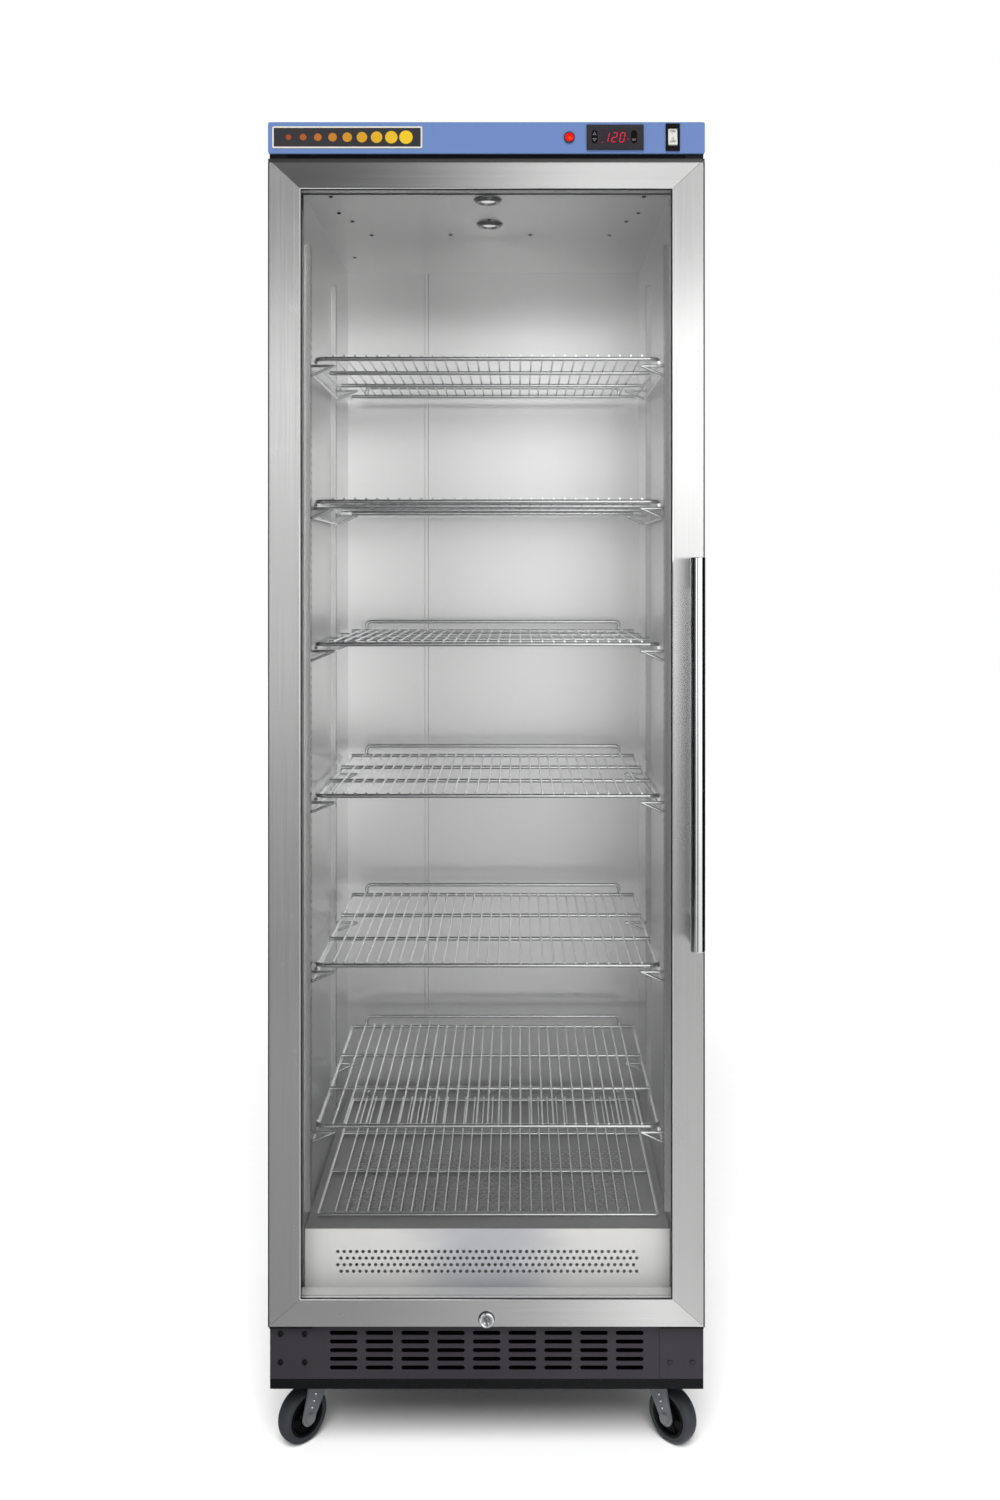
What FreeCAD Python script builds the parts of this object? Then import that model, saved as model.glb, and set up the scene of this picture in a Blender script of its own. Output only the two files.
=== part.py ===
"""Blanket warming cabinet on casters, as separate pieces in millimetres.

The origin is at the bottom centre: +Z is up, the door faces -Y and +X is to the right of it.
Each node is a list of solids, and is written as parts/NODE.step.
"""
import FreeCAD, Part
import math
import os

V = FreeCAD.Vector

# ---- Driving dimensions: the cabinet as a whole ----
WIDTH = 600.0
DEPTH = 660.0                # from the front of the handle to the back panel
HEIGHT = 1857.0
HANDLE_REACH = 55.0          # from the door's face to the front of the handle
BASE_UNDERSIDE = 108.0       # the casters' mounting height
BASE_HEIGHT = 14.0
BASE_SETBACK = 16.0          # base and kick panel behind the door's face
COMPARTMENT_TOP = 188.0      # top of the machine compartment
SHEET = 1.2                  # outer stainless panels
SIDE_WALL = 41.0             # outside face to the face inside the chamber
BACK_WALL = 43.0
BACK_PANEL_INSET = 3.0       # back panel inside the ends of the side panels
CHAMBER_FLOOR = 217.0
CHAMBER_CEILING = 1771.5
LINER = 1.0

# ---- Door ----
DOOR_BOTTOM = 202.0
DOOR_TOP = 1807.0
DOOR_THICKNESS = 42.0
DOOR_SKIN = 1.5
STILE_WIDTH = 44.0
TOP_RAIL = 41.0
BOTTOM_RAIL = 38.0
DOOR_EDGE_RADIUS = 2.0
DOOR_TOP_BEVEL = 4.5
REBATE = 6.0                 # how far the glass goes in behind the frame's lip
GLASS = 4.0
GLASS_GAP = 12.0             # air space between the two panes
SPACER_SHOWS = 6.0           # width of spacer seen inside the lip
GLASS_PLAY = 0.5             # pane edge to rebate
SEAL_GAP = 10.0              # door's back to the body's front
SEAL_WIDTH = 12.0
SEAL_INSET = 13.0            # door's outside edge to the seal
SEAL_CLEARANCE = 0.3

# ---- Door hardware ----
HANDLE_DIAMETER = 20.0
HANDLE_LOW = 731.0
HANDLE_HIGH = 1259.0
HANDLE_INSET = 15.5          # bar's axis to the door's free edge
HANDLE_FOOT_HEIGHT = 39.0
HANDLE_FOOT_WIDTH = 12.0
HINGE_INSET = 9.0            # hinge axis to the door's hinge edge
HINGE_BACK = 19.0            # hinge axis behind the door's face
HINGE_PIN_DIAMETER = 8.0
HINGE_PIN_REACH = 17.0       # pin inside the door
PIN_CLEARANCE = 0.05
BUSHING_DIAMETER = 14.0
BRACKET_CLEARANCE = 1.0      # hinge bracket to the door
TOP_BRACKET_THICKNESS = 5.0
TOP_BRACKET_INSET = 3.0
TOP_BRACKET_WIDTH = 23.0
LOW_BRACKET_THICKNESS = 3.0
LOW_BRACKET_WIDTH = 60.0
LOCK_HEIGHT = 213.0
LOCK_RING_DIAMETER = 20.6
LOCK_BARREL_DIAMETER = 17.0
LOCK_PLUG_DIAMETER = 12.0
LOCK_DEPTH = 24.0
LOCK_PROUD = 3.0

# ---- Control fascia ----
FASCIA_GAP = 7.0             # door's top to the fascia
FASCIA_SKIN = 2.0
FASCIA_RADIUS = 3.0
LABEL_LEFT = -294.0
LABEL_RIGHT = -88.0
LABEL_HEIGHT = 30.0
LABEL_THICKNESS = 0.8
CONTROL_CENTRE = 1836.0      # height of the row of controls
INDICATOR_X = 113.7
INDICATOR_BEZEL = 15.0
INDICATOR_LENS = 12.0
CONTROLLER_X = 176.7
CONTROLLER_WIDTH = 78.2
CONTROLLER_HEIGHT = 34.0
CONTROLLER_BEZEL = 3.0
CONTROLLER_DEPTH = 45.0
CUTOUT_PLAY = 0.3
DISPLAY_WIDTH = 39.0
DISPLAY_HEIGHT = 19.0
KEY_WIDTH = 8.0
KEY_HEIGHT = 18.0
ARROW_KEY_X = 148.4
SET_KEY_X = 202.5
KEY_PROUD = 0.5
KEY_TRAVEL = 0.8
KEY_CLEARANCE = 0.25
SWITCH_X = 255.8
SWITCH_WIDTH = 19.4
SWITCH_HEIGHT = 37.2
ROCKER_WIDTH = 12.4
ROCKER_HEIGHT = 24.6
ROCKER_AXIS = 2.0            # pivot behind the fascia's face
ROCKER_TILT = 8.0            # degrees, either way from the middle
ROCKER_CLEARANCE = 0.3
SWITCH_DEPTH = 22.0

# ---- Chamber ----
LIGHT_DIAMETER = 42.0
LIGHT_HEIGHT = 6.5
LIGHT_LENS = 25.0
LIGHT_SETBACKS = (80.0, 217.0)       # behind the door's face
STANDARD_WIDTH = 16.0
STANDARD_DEPTH = 7.5
STANDARD_SHEET = 1.2
STANDARD_TOP = 1704.0
STANDARD_SETBACKS = (72.0, 345.0)
SLOT_PITCH = 12.7
SLOT_HEIGHT = 5.0
SLOT_WIDTH = 8.0
TOP_SHELF_HEIGHT = 1542.7            # centre of the top shelf's front rail
SHELF_STEPS = (16, 16, 17, 19, 18)   # slots between one shelf and the next
SHELF_WIDTH = 494.0
SHELF_FRONT = 70.0                   # front rail behind the door's face
SHELF_DEPTH = 425.0
RAIL = 6.0                           # front, cross and rear rods
SIDE_ROD = 5.0
MAT_WIRE = 2.8
MAT_WIRES = 29
WIRE_PITCH = 15.7
WELD = 0.4                           # how far welded wires sink into each other
CROSS_RODS = 2
STOP_HEIGHT = 16.0
SHELF_CORNER = 14.0
ARM_WIRE = 4.0
ARM_REACH = 33.0
ARM_DROP = 13.0
SEAT_CLEARANCE = 0.3
RACK_FRONT = 92.0

# ---- Heated floor ----
FLOOR_COVER_TOP = 311.0
FLOOR_COVER_SETBACK = 57.0
FLOOR_COVER_PLAY = 1.0
FRONT_HOLE = 5.0
FRONT_HOLE_PITCH = 8.9
FRONT_HOLE_ROWS = 4
FRONT_HOLE_COLUMNS = 48
FRONT_HOLE_ROW_PITCH = 9.3
FRONT_HOLE_TOP = 277.8
FRONT_HOLE_SIDES = 12
TOP_HOLE = 4.5
TOP_HOLE_SIDES = 8
TOP_HOLE_PITCH = 9.0
TOP_HOLE_ROW_PITCH = 8.8
TOP_HOLE_COLUMNS = 47
TOP_HOLE_ROWS = 24
TOP_HOLE_SETBACK = 112.0
HEATER_TUBE = 8.0
HEATER_HEIGHT = 262.0
HEATER_BEND = 22.0
HEATER_LOOPS = 4
HEATER_HALF_WIDTH = 170.0
HEATER_SETBACK = 130.0
FAN_SIZE = 119.0
FAN_THICKNESS = 38.0
FAN_SETBACK = 440.0
FAN_GAP = 1.5
FAN_HUB = 42.0
FAN_BLADES = 7
FAN_SHAFT = 4.0
FAN_LIFT = 12.0
PROBE_DIAMETER = 6.0
PROBE_LENGTH = 60.0

# ---- Kick panel and base ----
KICK_SHEET = 1.5
LOUVRE_LENGTH = 38.5
LOUVRE_HEIGHT = 6.2
LOUVRE_PITCH_X = 49.5
LOUVRE_PITCH_Z = 12.0
LOUVRE_TOP = 185.5
LOUVRE_COLUMNS = 9
LOUVRE_ROWS = 5
COVER_PLATE_LEFT = 239.5
COVER_PLATE_RIGHT = 297.0
SCREW_HEAD = 7.6
SCREW_HEAD_HEIGHT = 2.2
KICK_SCREWS_X = (-285.6, -252.0)
COVER_SCREWS_X = (253.5, 284.7)
KICK_SCREWS_Z = (145.0, 184.0)
COVER_SCREW_Z = 145.0
RIVET_HEAD = 6.0
RIVET_HEAD_HEIGHT = 1.5
CEILING_RIVETS = ((222, 62), (222, 151), (208, 200), (188, 285), (63, 283), (-63, 283), (-188, 285),
                  (-208, 200), (-222, 151), (-222, 62), (0, 190), (-233, 440))
BACK_SCREWS = 7              # along each side of the back panel
BACK_SCREW_INSET = 16.0
GLAND_X = -200.0
GLAND_HEIGHT = 150.0
GLAND_BORE = 8.0
GLAND_DIAMETER = 20.0
GLAND_LENGTH = 24.0
TERMINAL_BOX = (160.0, 110.0, 55.0)

# ---- Casters ----
WHEEL_DIAMETER = 76.0
WHEEL_WIDTH = 24.0
TYRE_THICKNESS = 11.0
WHEEL_TRAIL = 25.0
CASTER_INSET = 53.0          # swivel axis to the side of the cabinet
CASTER_FRONT_SETBACK = 93.0
CASTER_BACK_INSET = 65.0
CASTER_TURN = 43.8           # degrees that the forks stand turned outwards
CASTER_PLATE = 64.0
CASTER_PLATE_THICKNESS = 3.0
RACEWAY_DIAMETER = 46.0
RACEWAY_HEIGHT = 8.0
FORK_SHEET = 3.0
FORK_GAP = 0.3
FORK_HEAD_HEIGHT = 12.0
FORK_SIDE_PLAY = 2.0
KING_PIN_DIAMETER = 12.0
AXLE_DIAMETER = 8.0
AXLE_BOSS = 11.0

# ---- Places that follow from the driving dimensions ----
SIDE = WIDTH / 2
FACE = -DEPTH / 2 + HANDLE_REACH             # y of the door's face
DOOR_BACK = FACE + DOOR_THICKNESS
BODY_FRONT = DOOR_BACK + SEAL_GAP
BACK = DEPTH / 2
BACK_FACE = BACK - BACK_PANEL_INSET
BASE_TOP = BASE_UNDERSIDE + BASE_HEIGHT
KICK_FACE = FACE + BASE_SETBACK
CHAMBER_SIDE = SIDE - SIDE_WALL
CHAMBER_BACK = BACK - BACK_WALL
LINER_OUT = CHAMBER_SIDE + LINER
FASCIA_BOTTOM = DOOR_TOP + FASCIA_GAP
OPENING_SIDE = SIDE - STILE_WIDTH
OPENING_LOW = DOOR_BOTTOM + BOTTOM_RAIL
OPENING_HIGH = DOOR_TOP - TOP_RAIL
HINGE_X = -SIDE + HINGE_INSET
HINGE_Y = FACE + HINGE_BACK
SHELF_HEIGHTS = [TOP_SHELF_HEIGHT - SLOT_PITCH * sum(SHELF_STEPS[:step]) for step in range(6)]
SIDE_ROD_DROP = (RAIL + SIDE_ROD) / 2 - WELD
ARM_DROP_FROM_RAIL = SIDE_ROD_DROP + SIDE_ROD / 2 + SEAT_CLEARANCE + ARM_WIRE / 2

parts = {}


def block(x, y, z):
    """A box from three (low, high) pairs."""
    return Part.makeBox(x[1] - x[0], y[1] - y[0], z[1] - z[0], V(x[0], y[0], z[0]))


def rod(start, end, diameter):
    """A round bar between two points."""
    start, end = V(start), V(end)
    return Part.makeCylinder(diameter / 2, (end - start).Length, start, end - start)


def ring(start, end, outer, bore):
    """A round bar with a hole along its axis."""
    return rod(start, end, outer).cut(rod(start, end, bore))


def ball(centre, diameter):
    return Part.makeSphere(diameter / 2, V(*centre))


def joined(shapes):
    """One solid from shapes that overlap or touch."""
    return shapes[0].fuse(shapes[1:]).removeSplitter() if len(shapes) > 1 else shapes[0]


def bent_rod(points, radius, diameter):
    """A bar along straight runs, with each inner point rounded to the same bend radius."""
    points = [V(*point) for point in points]
    pieces, last = [], points[0]
    for before, corner, after in zip(points, points[1:], points[2:]):
        into, out = (before - corner).normalize(), (after - corner).normalize()
        half = into.getAngle(out) / 2
        tangent = radius / math.tan(half)
        start, end = corner + into * tangent, corner + out * tangent
        centre = corner + (into + out).normalize() * (radius / math.sin(half))
        section = Part.Face(Part.Wire(Part.makeCircle(diameter / 2, start, into)))
        axis = (start - centre).cross(end - centre)
        pieces += [rod(last, start, diameter),
                   section.revolve(centre, axis, math.degrees(math.pi - 2 * half))]
        last = end
    return joined(pieces + [rod(last, points[-1], diameter)])


def oblong(centre_x, centre_z, length, height, y):
    """The wire of a round-ended slot in an upright plane."""
    run, r = (length - height) / 2, height / 2
    left, right = centre_x - run, centre_x + run
    low, high = centre_z - r, centre_z + r
    return Part.Wire([
        Part.LineSegment(V(left, y, low), V(right, y, low)).toShape(),
        Part.Arc(V(right, y, low), V(right + r, y, centre_z), V(right, y, high)).toShape(),
        Part.LineSegment(V(right, y, high), V(left, y, high)).toShape(),
        Part.Arc(V(left, y, high), V(left - r, y, centre_z), V(left, y, low)).toShape()])


def round_hole(diameter, sides, place):
    """The wire of a small round hole with a few sides; place(u, v) gives a point on the sheet."""
    turns = [2 * math.pi * (corner + 0.5) / sides for corner in range(sides)]
    corners = [V(*place(diameter / 2 * math.cos(turn), diameter / 2 * math.sin(turn)))
               for turn in turns]
    return Part.makePolygon(corners + corners[:1])


def pierced(outline, holes, thickness):
    """A sheet from its outline and its holes' wires, all wound one way, raised by a vector."""
    for hole in holes:
        hole.reverse()
    return Part.Face([outline] + holes).extrude(thickness)


def mirrored(shape):
    """The same piece on the other side of the cabinet."""
    return shape.mirror(V(0, 0, 0), V(1, 0, 0))


def pair(shape):
    return [shape, mirrored(shape)]


def screw_head(x, y, z, direction, diameter=SCREW_HEAD, height=SCREW_HEAD_HEIGHT):
    """A domed screw or rivet head standing on a surface, with a socket when it is a screw."""
    at, way = V(x, y, z), V(*direction)
    head = Part.makeCylinder(diameter / 2, height, at, way)
    top = [edge for edge in head.Edges if edge.Length > diameter
           and abs((edge.CenterOfMass - at).Length - height) < height / 10]
    head = head.makeFillet(height * 0.6, top)
    if diameter >= SCREW_HEAD:
        socket = Part.makeCylinder(diameter * 0.19, height * 0.6, at + way * height * 0.5, way)
        head = head.cut(socket)
    return head


# ---- Body: skins, insulation, liner and base ----
def build_body():
    """Outer skins, the foam behind them and the chamber's lining."""
    roof = block((-SIDE + SHEET, SIDE - SHEET), (BODY_FRONT, BACK), (HEIGHT - SHEET, HEIGHT))
    side = block((SIDE - SHEET, SIDE), (BODY_FRONT, BACK), (BASE_TOP, HEIGHT))
    parts["outer_panels"] = pair(side) + [roof]

    back_in = BACK_FACE - SHEET
    gland_hole = rod((GLAND_X, back_in, GLAND_HEIGHT), (GLAND_X, BACK_FACE, GLAND_HEIGHT),
                     GLAND_DIAMETER * 0.7)
    back = block((-SIDE + SHEET, SIDE - SHEET), (back_in, BACK_FACE), (BASE_TOP, HEIGHT - SHEET))
    parts["back_panel"] = [back.cut(gland_hole)]

    foam_y = (BODY_FRONT + SHEET, back_in)
    foam_z = (CHAMBER_FLOOR - LINER, CHAMBER_CEILING + LINER)
    low_foam = (COMPARTMENT_TOP, CHAMBER_FLOOR - LINER)
    high_foam = (CHAMBER_CEILING + LINER, FASCIA_BOTTOM)
    full_x = (-SIDE + SHEET, SIDE - SHEET)
    parts["insulation"] = pair(block((LINER_OUT, SIDE - SHEET), foam_y, foam_z)) + [
        block((-LINER_OUT, LINER_OUT), (CHAMBER_BACK + LINER, back_in), foam_z),
        block(full_x, foam_y, low_foam), block(full_x, foam_y, high_foam)]

    deep = (BODY_FRONT + SHEET, CHAMBER_BACK)
    tall = (CHAMBER_FLOOR, CHAMBER_CEILING)
    parts["liner_panels"] = pair(block((CHAMBER_SIDE, LINER_OUT), deep, tall)) + [
        block((-LINER_OUT, LINER_OUT), (CHAMBER_BACK, CHAMBER_BACK + LINER), tall),
        block((-LINER_OUT, LINER_OUT), (deep[0], CHAMBER_BACK + LINER),
              (CHAMBER_FLOOR - LINER, CHAMBER_FLOOR)),
        block((-LINER_OUT, LINER_OUT), (deep[0], CHAMBER_BACK + LINER),
              (CHAMBER_CEILING, CHAMBER_CEILING + LINER))]

    front_y = (BODY_FRONT, BODY_FRONT + SHEET)
    strip_z = (COMPARTMENT_TOP, HEIGHT - SHEET)
    parts["front_frame"] = pair(block((CHAMBER_SIDE, SIDE - SHEET), front_y, strip_z)) + [
        block((-CHAMBER_SIDE, CHAMBER_SIDE), front_y, (CHAMBER_CEILING, HEIGHT - SHEET)),
        block((-CHAMBER_SIDE, CHAMBER_SIDE), front_y, (COMPARTMENT_TOP, CHAMBER_FLOOR))]


def build_base():
    """The folded tray that the casters bolt to, and the black panels across its front."""
    skin = KICK_SHEET
    tray = block((-SIDE, SIDE), (KICK_FACE, BACK), (BASE_UNDERSIDE, BASE_TOP))
    hollow = block((-SIDE + skin, SIDE - skin), (KICK_FACE + skin, BACK - skin),
                   (BASE_UNDERSIDE + skin, BASE_TOP))
    parts["base_tray"] = [tray.cut(hollow)]

    outline = Part.makePolygon([V(x, KICK_FACE, z) for x, z in (
        (-SIDE, BASE_TOP), (SIDE, BASE_TOP), (SIDE, kick_top()), (-SIDE, kick_top()),
        (-SIDE, BASE_TOP))])
    middle = (LOUVRE_COLUMNS - 1) / 2
    slots = [oblong((column - middle) * LOUVRE_PITCH_X, LOUVRE_TOP - row * LOUVRE_PITCH_Z,
                    LOUVRE_LENGTH, LOUVRE_HEIGHT, KICK_FACE)
             for column in range(LOUVRE_COLUMNS) for row in range(LOUVRE_ROWS)]
    sheet = pierced(outline, slots, V(0, skin, 0))
    returns = pair(block((SIDE - skin, SIDE), (KICK_FACE + skin, BODY_FRONT), (BASE_TOP, kick_top())))
    plate = block((COVER_PLATE_LEFT, COVER_PLATE_RIGHT), (KICK_FACE - skin, KICK_FACE),
                  (BASE_TOP + 1, kick_top()))
    uprights = [edge for edge in plate.Edges
                if edge.Length < 2 * skin and edge.Vertexes[0].Z < BASE_TOP + 2]
    parts["kick_panels"] = [joined([sheet] + returns), plate.makeFillet(3 * skin, uprights)]


def kick_top():
    """The kick panel ends just under the low hinge brackets."""
    return DOOR_BOTTOM - BRACKET_CLEARANCE - LOW_BRACKET_THICKNESS - BRACKET_CLEARANCE


# ---- Door ----
def frame_ring(side, low, high, y, hole_side, hole_low, hole_high):
    """A rectangular ring standing in the door's plane."""
    return block((-side, side), y, (low, high)).cut(
        block((-hole_side, hole_side), y, (hole_low, hole_high)))


def frame_bar(width, bevelled, place, run):
    """A hollow bar of the door's frame with the lip that the glass sits behind.

    place(u, y) gives the point of its section that is u in from the door's edge, and run is its length.
    """
    box, skin = width - REBATE, DOOR_SKIN
    edge = DOOR_TOP_BEVEL if bevelled else DOOR_EDGE_RADIUS
    corners = [(edge, FACE), (width, FACE), (width, FACE + skin), (box, FACE + skin),
               (box, DOOR_BACK), (0, DOOR_BACK), (0, FACE + edge)]
    points = [V(*place(u, y)) for u, y in corners]
    sides = [Part.LineSegment(start, end).toShape() for start, end in zip(points, points[1:])]
    arc_in = edge * (1 - math.sqrt(0.5))
    sides.append(Part.LineSegment(points[-1], points[0]).toShape() if bevelled
                 else Part.Arc(points[-1], V(*place(arc_in, FACE + arc_in)), points[0]).toShape())
    inner = edge - skin * 0.6 if bevelled else 0
    hollow = [(skin, FACE + skin + inner), (skin + inner, FACE + skin), (box - skin, FACE + skin),
              (box - skin, DOOR_BACK - skin), (skin, DOOR_BACK - skin)]
    hollow = [V(*place(u, y)) for u, y in (hollow if bevelled else [(skin, FACE + skin)] + hollow[2:])]
    bar = Part.Face(Part.Wire(sides)).extrude(run)
    return bar.cut(Part.Face(Part.makePolygon(hollow + hollow[:1])).extrude(run))


def mitred_frame():
    """The door's frame cut at its mitres: (left stile, right stile), (bottom rail, top rail)."""
    outer = {"left": -SIDE, "right": SIDE, "low": DOOR_BOTTOM, "high": DOOR_TOP}
    inner = {"left": -OPENING_SIDE, "right": OPENING_SIDE, "low": OPENING_LOW, "high": OPENING_HIGH}

    def wedge(side_a, level_a, side_b, level_b):
        corners = [V(outer[side_a], FACE - 1, outer[level_a]), V(inner[side_a], FACE - 1, inner[level_a]),
                   V(inner[side_b], FACE - 1, inner[level_b]), V(outer[side_b], FACE - 1, outer[level_b])]
        return Part.Face(Part.makePolygon(corners + corners[:1])).extrude(V(0, DOOR_THICKNESS + 2, 0))

    up, across = V(0, 0, DOOR_TOP - DOOR_BOTTOM), V(2 * SIDE, 0, 0)
    stile = frame_bar(STILE_WIDTH, False, lambda u, y: (SIDE - u, y, DOOR_BOTTOM), up)
    low = frame_bar(BOTTOM_RAIL, False, lambda u, y: (-SIDE, y, DOOR_BOTTOM + u), across)
    high = frame_bar(TOP_RAIL, True, lambda u, y: (-SIDE, y, DOOR_TOP - u), across)
    slope = [V(0, FACE, DOOR_TOP - DOOR_TOP_BEVEL), V(0, FACE + DOOR_TOP_BEVEL, DOOR_TOP),
             V(0, FACE, DOOR_TOP), V(0, FACE, DOOR_TOP - DOOR_TOP_BEVEL)]
    stile = stile.common(wedge("right", "low", "right", "high")).cut(
        Part.Face(Part.makePolygon(slope)).extrude(V(SIDE, 0, 0)))
    rails = [bar.common(wedge("left", level, "right", level)).Solids[0]
             for bar, level in ((low, "low"), (high, "high"))]
    return pair(stile.Solids[0]), rails


def build_door():
    """Hollow mitred frame, double glazing and the seal on its back."""
    skin = DOOR_SKIN
    glass_side = OPENING_SIDE + REBATE
    glass_low, glass_high = OPENING_LOW - REBATE, OPENING_HIGH + REBATE
    stiles, rails = mitred_frame()
    seats = [rod((HINGE_X, HINGE_Y, low), (HINGE_X, HINGE_Y, high), BUSHING_DIAMETER)
             for low, high in bushing_spans()]
    lock_hole = rod((0, FACE, LOCK_HEIGHT), (0, FACE + 3 * skin, LOCK_HEIGHT), LOCK_BARREL_DIAMETER)
    parts["door_stiles"] = [stile.cut(seats) for stile in stiles]
    parts["door_rails"] = [rail.cut(seats + [lock_hole]) for rail in rails]

    pane_side = glass_side - GLASS_PLAY
    pane_z = (glass_low + GLASS_PLAY, glass_high - GLASS_PLAY)
    front = FACE + skin
    spacer = front + GLASS
    second = spacer + GLASS_GAP
    inside = second + GLASS
    show = SPACER_SHOWS
    parts["outer_glass"] = [block((-pane_side, pane_side), (front, spacer), pane_z)]
    parts["inner_glass"] = [block((-pane_side, pane_side), (second, inside), pane_z)]
    parts["glass_spacer"] = [frame_ring(pane_side, *pane_z, (spacer, second), OPENING_SIDE - show,
                                        OPENING_LOW + show, OPENING_HIGH - show)]
    parts["glazing_beads"] = [frame_ring(glass_side, glass_low, glass_high, (inside, DOOR_BACK),
                                         OPENING_SIDE, OPENING_LOW, OPENING_HIGH)]
    edge, width = SEAL_INSET, SEAL_INSET + SEAL_WIDTH
    parts["door_gasket"] = [frame_ring(
        SIDE - edge, DOOR_BOTTOM + edge, DOOR_TOP - edge,
        (DOOR_BACK, BODY_FRONT - SEAL_CLEARANCE), SIDE - width,
        DOOR_BOTTOM + width, DOOR_TOP - width)]


def bushing_spans():
    """Heights of the two hinge bushings, flush with the door's ends."""
    return ((DOOR_BOTTOM, DOOR_BOTTOM + HINGE_PIN_REACH + 1),
            (DOOR_TOP - HINGE_PIN_REACH - 1, DOOR_TOP))


def build_door_hardware():
    """Handle, hinges and lock."""
    bar_x, bar_y = SIDE - HANDLE_INSET, FACE - HANDLE_REACH + HANDLE_DIAMETER / 2
    bar = rod((bar_x, bar_y, HANDLE_LOW), (bar_x, bar_y, HANDLE_HIGH), HANDLE_DIAMETER)
    rims = [edge for edge in bar.Edges if abs(edge.Length - math.pi * HANDLE_DIAMETER) < 0.01]
    parts["handle_bar"] = [bar.makeFillet(1.0, rims)]
    feet = []
    for low in (HANDLE_LOW + 1, HANDLE_HIGH - HANDLE_FOOT_HEIGHT - 1):
        foot = block((bar_x - HANDLE_FOOT_WIDTH / 2, bar_x + HANDLE_FOOT_WIDTH / 2),
                     (bar_y, FACE), (low, low + HANDLE_FOOT_HEIGHT))
        feet.append(foot.cut(rod((bar_x, bar_y, low - 1), (bar_x, bar_y, HANDLE_HIGH),
                                 HANDLE_DIAMETER)))
    parts["handle_brackets"] = feet

    parts["hinge_bushings"] = [
        ring((HINGE_X, HINGE_Y, low), (HINGE_X, HINGE_Y, high), BUSHING_DIAMETER,
             HINGE_PIN_DIAMETER + 2 * PIN_CLEARANCE) for low, high in bushing_spans()]
    nose = FACE + 4
    top = DOOR_TOP + BRACKET_CLEARANCE
    top_x = (-SIDE + TOP_BRACKET_INSET, -SIDE + TOP_BRACKET_INSET + TOP_BRACKET_WIDTH)
    top_plate = block(top_x, (nose, BODY_FRONT), (top, top + TOP_BRACKET_THICKNESS))
    top_pin = rod((HINGE_X, HINGE_Y, DOOR_TOP - HINGE_PIN_REACH), (HINGE_X, HINGE_Y, top + 1),
                  HINGE_PIN_DIAMETER)
    low = DOOR_BOTTOM - BRACKET_CLEARANCE
    low_plate = block((-SIDE + 1, -SIDE + 1 + LOW_BRACKET_WIDTH), (nose, BODY_FRONT),
                      (low - LOW_BRACKET_THICKNESS, low))
    low_pin = rod((HINGE_X, HINGE_Y, low - 1), (HINGE_X, HINGE_Y, DOOR_BOTTOM + HINGE_PIN_REACH),
                  HINGE_PIN_DIAMETER)
    parts["hinge_brackets"] = [joined([top_plate, top_pin]), mirrored(top_plate),
                               joined([low_plate, low_pin]), mirrored(low_plate)]

    at = lambda y: (0, FACE + y, LOCK_HEIGHT)
    play = PIN_CLEARANCE * 2
    housing = joined([rod(at(-LOCK_PROUD), at(0), LOCK_RING_DIAMETER),
                      rod(at(0), at(LOCK_DEPTH), LOCK_BARREL_DIAMETER)])
    parts["lock_housing"] = [housing.cut(rod(at(-LOCK_PROUD), at(LOCK_DEPTH),
                                             LOCK_PLUG_DIAMETER + play))]
    plug = rod(at(-LOCK_PROUD + 0.6), at(LOCK_DEPTH + 1), LOCK_PLUG_DIAMETER)
    keyway = block((-0.9, 0.9), (FACE - LOCK_PROUD, FACE + 8), (LOCK_HEIGHT - 4, LOCK_HEIGHT + 4))
    cam = block((-5, 16), (FACE + LOCK_DEPTH + 1, FACE + LOCK_DEPTH + 3),
                (LOCK_HEIGHT - 5, LOCK_HEIGHT + 5))
    parts["lock_plug"] = [joined([plug.cut(keyway), cam])]


# ---- Control fascia ----
def pill(x, z, width, height, y, depth):
    """An upright round-ended bar, from y inwards."""
    wire = oblong(0, 0, height, width, 0)
    wire.rotate(V(0, 0, 0), V(0, 1, 0), 90)
    wire.translate(V(x, y, z))
    return Part.Face(wire).extrude(V(0, depth, 0))


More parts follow.
